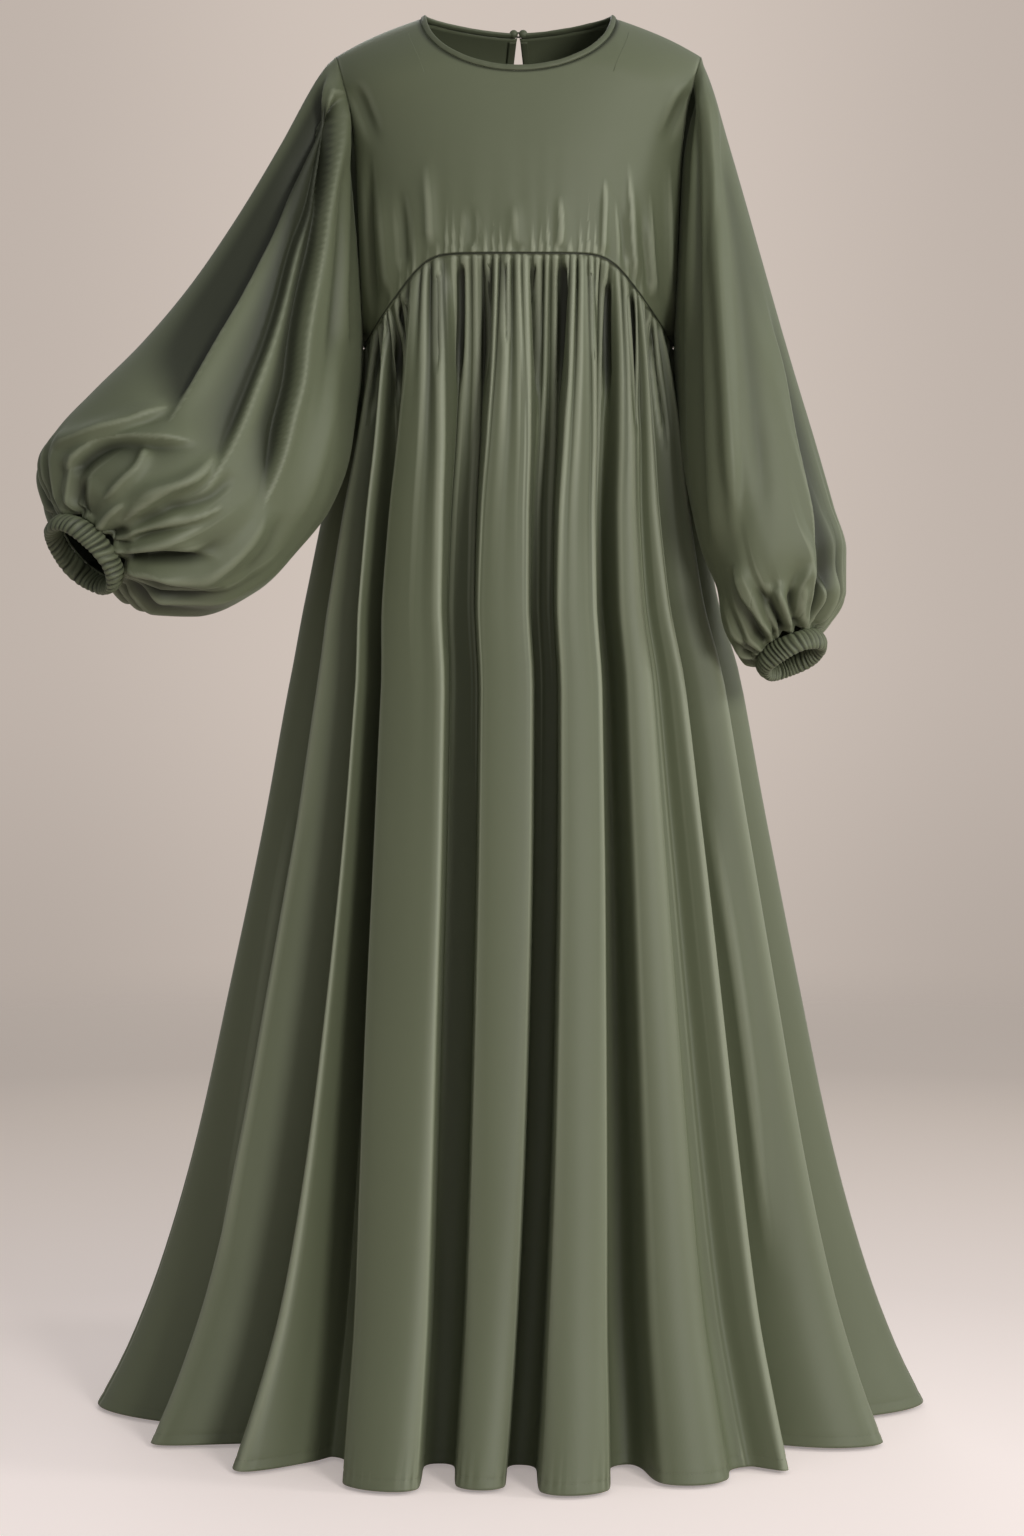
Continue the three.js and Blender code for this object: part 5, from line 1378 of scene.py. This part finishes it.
class ABAYA_OT_cuffs(bpy.types.Operator):
    """Builds the two elastic cuffs"""
    bl_idname = "abaya.cuffs"
    bl_label = "Cuffs"

    def execute(self, context):
        s = context.scene.abaya_sleeves
        for side, table, seed in (("right", RIGHT_SLEEVE, 2), ("left", LEFT_SLEEVE, 6)):
            half_height, half_thickness = s.cuff_half_height / MM, s.cuff_half_thickness / MM
            piece = cuff(f"cuff_{side}_cloth", table, half_height, half_thickness, s.ribs, seed)
            finish_piece(piece, crepe(), "crepe", f"cuff_{side}")
        return {"FINISHED"}


class ABAYA_OT_neck(bpy.types.Operator):
    """Builds the neck binding, the keyhole's facing and the button with its loop"""
    bl_idname = "abaya.neck"
    bl_label = "Neck and fastening"

    def execute(self, context):
        t = context.scene.abaya_trim
        binding = neck_binding("neck_binding_cloth", t.binding_height / MM, t.binding_thickness / MM, 0.6)
        facing = keyhole_facing("keyhole_facing_cloth", t.facing_width / MM, 1.1)
        edge = float(bodice_y(np.array([0.0]), np.array([float(BACK_NECK_HEIGHT)]), "back")[0])
        radius = t.button_radius / MM
        ahead = edge - KNOB_AHEAD
        button = knob("back_button_cloth", np.array([KNOB_ACROSS, ahead, KNOB_HEIGHT]), radius, 0)
        knot = knob("loop_knot_cloth", np.array([-KNOB_ACROSS, ahead, KNOB_HEIGHT]), radius * 0.97, 2)
        loop = button_loop("button_loop_cloth", (0, edge + 3.4, KNOB_HEIGHT - 0.2), 9.2, 2.2, 0.9)
        for piece, node in ((binding, "neck_binding"), (facing, "keyhole_facing"), (button, "back_button"),
                            (knot, "loop_knot"), (loop, "button_loop")):
            finish_piece(piece, trim(), "trim", node)
        return {"FINISHED"}


class ABAYA_OT_stitching(bpy.types.Operator):
    """Lays the visible stitching along the neck and the hem"""
    bl_idname = "abaya.stitching"
    bl_label = "Stitching"

    def execute(self, context):
        scene = context.scene
        length = scene.abaya_trim.stitch / MM
        hem = scene.abaya_skirt.hem_depth / MM
        for side, panel in (("front", FRONT_PANEL), ("back", BACK_PANEL)):
            folds, downs = np.meshgrid(np.linspace(*panel, 2400), [0.985, 1.0])
            points = skirt_grid(side, folds, downs)
            share = np.clip((points[0, :, 2] - HEM_HEIGHT - hem) / (points[0, :, 2] - HEM_HEIGHT), 0, 1)
            line = mix(points[0], points[1], share[:, None])
            down = points[1] - points[0]
            along = np.gradient(line, axis=0)
            normal = -unit(np.cross(along, down))
            piece = stitches(f"hem_stitches_{side}", line + normal * 0.1, normal, length * 1.9, length, 0.22)
            finish_piece(piece, thread(), "trim")
        points, along, normal = neck_edge()
        line = points + normal * 0.75
        finish_piece(stitches("neck_stitches", line, normal, length * 1.4, length, 0.2), thread(), "trim")
        return {"FINISHED"}


def area_light(name, location, target, size, power, colour=(1, 1, 1)):
    """A round soft light at a place, its -Z axis turned towards a target."""
    light = bpy.data.lights.new(name, "AREA")
    light.shape = "DISK"
    light.size, light.energy, light.color = size, power, colour
    obj = bpy.data.objects.new(name, light)
    obj.location = location
    obj.rotation_euler = (Vector(target) - Vector(location)).to_track_quat("-Z", "Y").to_euler()
    bpy.context.scene.collection.objects.link(obj)
    return obj


def floor_material(colour, backdrop):
    """A pale floor whose colour is painted darker with distance from its brightest place, as shade where its
    light falls off, and that gives way to the backdrop. Only the eye sees its own painted glow, which lights
    nothing."""
    material = bpy.data.materials.new("studio_floor")
    material.use_nodes = True
    nodes = material.node_tree.nodes
    shader = nodes["Principled BSDF"]
    shader.inputs["Roughness"].default_value = 0.85
    shader.inputs["Specular IOR Level"].default_value = 0.2
    where = nodes.new("ShaderNodeTexCoord")
    away = nodes.new("ShaderNodeVectorMath")
    away.operation = "DISTANCE"
    away.inputs[1].default_value = FLOOR_BRIGHTEST
    span = ranged(nodes, 0, FLOOR_RADIUS, 0, 1, "LINEAR")
    cover = ranged(nodes, *FLOOR_FADE, 1, 0)
    # Painted light: a glow that only camera rays see.
    glow = ranged(nodes, 0, 1, 0, FLOOR_GLOW, "LINEAR")
    path = nodes.new("ShaderNodeLightPath")
    # Painted shade: the floor's colour grows darker with distance, as the light on it would.
    ramp = nodes.new("ShaderNodeValToRGB")
    stops = ramp.color_ramp.elements
    while len(stops) < len(FLOOR_SHADES):
        stops.new(1.0)
    hue = np.array(backdrop) * sum(colour) / sum(backdrop)
    for stop, (radius, shade, share) in zip(stops, FLOOR_SHADES):
        stop.position = radius / FLOOR_RADIUS
        stop.color = (*(shade * mix(np.array(colour), hue, share)), 1)
    socket_links(material.node_tree, [
        (where.outputs["Object"], away.inputs[0]),
        (away.outputs["Value"], span.inputs["Value"]),
        (away.outputs["Value"], cover.inputs["Value"]),
        (span.outputs["Result"], ramp.inputs["Fac"]),
        (ramp.outputs["Color"], shader.inputs["Base Color"]),
        (ramp.outputs["Color"], shader.inputs["Emission Color"]),
        (path.outputs["Is Camera Ray"], glow.inputs["Value"]),
        (glow.outputs["Result"], shader.inputs["Emission Strength"]),
        (cover.outputs["Result"], shader.inputs["Alpha"]),
    ])
    return material


def ranged(nodes, from_low, from_high, to_low, to_high, kind="SMOOTHSTEP"):
    """A node that maps one range of values onto another."""
    node = nodes.new("ShaderNodeMapRange")
    node.interpolation_type = kind
    values = {"From Min": from_low, "From Max": from_high, "To Min": to_low, "To Max": to_high}
    for name, value in values.items():
        node.inputs[name].default_value = value
    return node


def multiplied(nodes):
    """A node that multiplies two values."""
    node = nodes.new("ShaderNodeMath")
    node.operation = "MULTIPLY"
    return node


def studio_world(s):
    """The backdrop as the eye sees it, with painted light: a little brighter round the garment and darker
    towards the floor; and a neutral dome that lights the cloth, brighter from +X than from -X."""
    world = bpy.data.worlds.new("studio")
    world.use_nodes = True
    nodes = world.node_tree.nodes
    background = nodes["Background"]
    path = nodes.new("ShaderNodeLightPath")
    where = nodes.new("ShaderNodeTexCoord")
    axes = nodes.new("ShaderNodeSeparateXYZ")
    least, most = s.ambient * (1 - s.ambient_slant), s.ambient * (1 + s.ambient_slant)
    dome = ranged(nodes, -1, 1, least, most, "LINEAR")
    aside = nodes.new("ShaderNodeMath")
    aside.operation = "ABSOLUTE"
    # Painted light on the backdrop that only the eye sees: brighter round the garment, darker towards the
    # floor.
    glow, dim, seen = ranged(nodes, *BACKDROP_GLOW), ranged(nodes, *BACKDROP_DIM), multiplied(nodes)
    strength, tint = nodes.new("ShaderNodeMix"), nodes.new("ShaderNodeMix")
    tint.data_type = "RGBA"
    grey = sum(s.backdrop_colour) / 3
    tint.inputs["A"].default_value = (grey, grey, grey, 1)
    tint.inputs["B"].default_value = (*s.backdrop_colour, 1)
    socket_links(world.node_tree, [
        (where.outputs["Generated"], axes.inputs["Vector"]),
        (axes.outputs["X"], dome.inputs["Value"]),
        (axes.outputs["X"], aside.inputs[0]),
        (aside.outputs["Value"], glow.inputs["Value"]),
        (axes.outputs["Z"], dim.inputs["Value"]),
        (glow.outputs["Result"], seen.inputs[0]),
        (dim.outputs["Result"], seen.inputs[1]),
        (dome.outputs["Result"], strength.inputs["A"]),
        (seen.outputs["Value"], strength.inputs["B"]),
        (path.outputs["Is Camera Ray"], strength.inputs["Factor"]),
        (path.outputs["Is Camera Ray"], tint.inputs["Factor"]),
        (tint.outputs["Result"], background.inputs["Color"]),
        (strength.outputs["Result"], background.inputs["Strength"]),
    ])
    return world


class ABAYA_OT_stage(bpy.types.Operator):
    """Makes the pale floor, the backdrop, the soft lights and the camera"""
    bl_idname = "abaya.stage"
    bl_label = "Stage"

    def execute(self, context):
        scene = context.scene
        s = scene.abaya_stage
        sides = 96
        angle = np.linspace(0, 2 * np.pi, sides, endpoint=False)
        rings = np.array([0.02, 1.0, 3.0, FLOOR_RADIUS])[:, None]
        points = np.stack([rings * np.cos(angle), rings * np.sin(angle), 0 * rings * angle], -1)
        faces = grid_faces(len(rings), sides, True)
        centre = list(range(sides))
        mesh = bpy.data.meshes.new("floor")
        mesh.from_pydata(points.reshape(-1, 3).tolist(), [], faces[:, ::-1].tolist() + [centre])
        floor = bpy.data.objects.new("floor", mesh)
        floor.location = (0, 0, -NECK_POINT_HEIGHT * MM)
        scene.collection.objects.link(floor)
        mesh.materials.append(floor_material(s.floor_colour, s.backdrop_colour))

        scene.world = studio_world(s)
        middle = (0, 0, -0.6)
        area_light("key", (2.2, -4.3, 0.7), middle, 1.2, s.key_power, (1, 0.985, 0.96))
        area_light("side", (4.4, -0.6, 0.9), middle, 1.0, s.side_power)
        area_light("back", (-0.6, 4.2, 1.4), middle, 1.8, s.fill_power)

        camera = bpy.data.cameras.new("camera")
        camera.lens, camera.sensor_width = 87.77, 36
        camera.clip_end = 100
        obj = bpy.data.objects.new("camera", camera)
        obj.location = (CAMERA_ACROSS * MM, EYE[1] * MM, (EYE[2] - NECK_POINT_HEIGHT) * MM)
        obj.rotation_euler = (math.radians(90 - VIEW_TILT), 0, 0)
        scene.collection.objects.link(obj)
        scene.camera = obj
        scene.view_settings.view_transform = "Standard"
        return {"FINISHED"}


class ABAYA_PT_panel(bpy.types.Panel):
    """Lists the garment's settings and the operators that build it"""
    bl_idname = "ABAYA_PT_panel"
    bl_label = "Abaya"
    bl_space_type = "VIEW_3D"
    bl_region_type = "UI"
    bl_category = "Abaya"

    def draw(self, context):
        scene = context.scene
        for group in GROUPS:
            settings = getattr(scene, group)
            box = self.layout.box()
            for name in settings.bl_rna.properties.keys():
                if name not in ("rna_type", "name"):
                    box.prop(settings, name)
        for operator in OPERATORS:
            self.layout.operator(operator.bl_idname)


GROUPS = {"abaya_cloth": AbayaCloth, "abaya_skirt": AbayaSkirt, "abaya_sleeves": AbayaSleeves,
          "abaya_trim": AbayaTrim, "abaya_stage": AbayaStage}
OPERATORS = (ABAYA_OT_stage, ABAYA_OT_bodice, ABAYA_OT_skirt, ABAYA_OT_sleeves, ABAYA_OT_cuffs, ABAYA_OT_neck,
             ABAYA_OT_stitching)
CLASSES = (*GROUPS.values(), *OPERATORS, ABAYA_PT_panel)


def register():
    """Registers the classes and hangs each group of settings on the scene."""
    for cls in CLASSES:
        bpy.utils.register_class(cls)
    for name, group in GROUPS.items():
        setattr(bpy.types.Scene, name, bpy.props.PointerProperty(type=group))


def unregister():
    """Takes away what register put in place."""
    for name in GROUPS:
        delattr(bpy.types.Scene, name)
    for cls in reversed(CLASSES):
        bpy.utils.unregister_class(cls)


def main():
    """Builds the stage and every piece in order."""
    register()
    for operator in ("stage", "bodice", "skirt", "sleeves", "cuffs", "neck", "stitching"):
        getattr(bpy.ops.abaya, operator)()


if __name__ == "__main__":
    main()
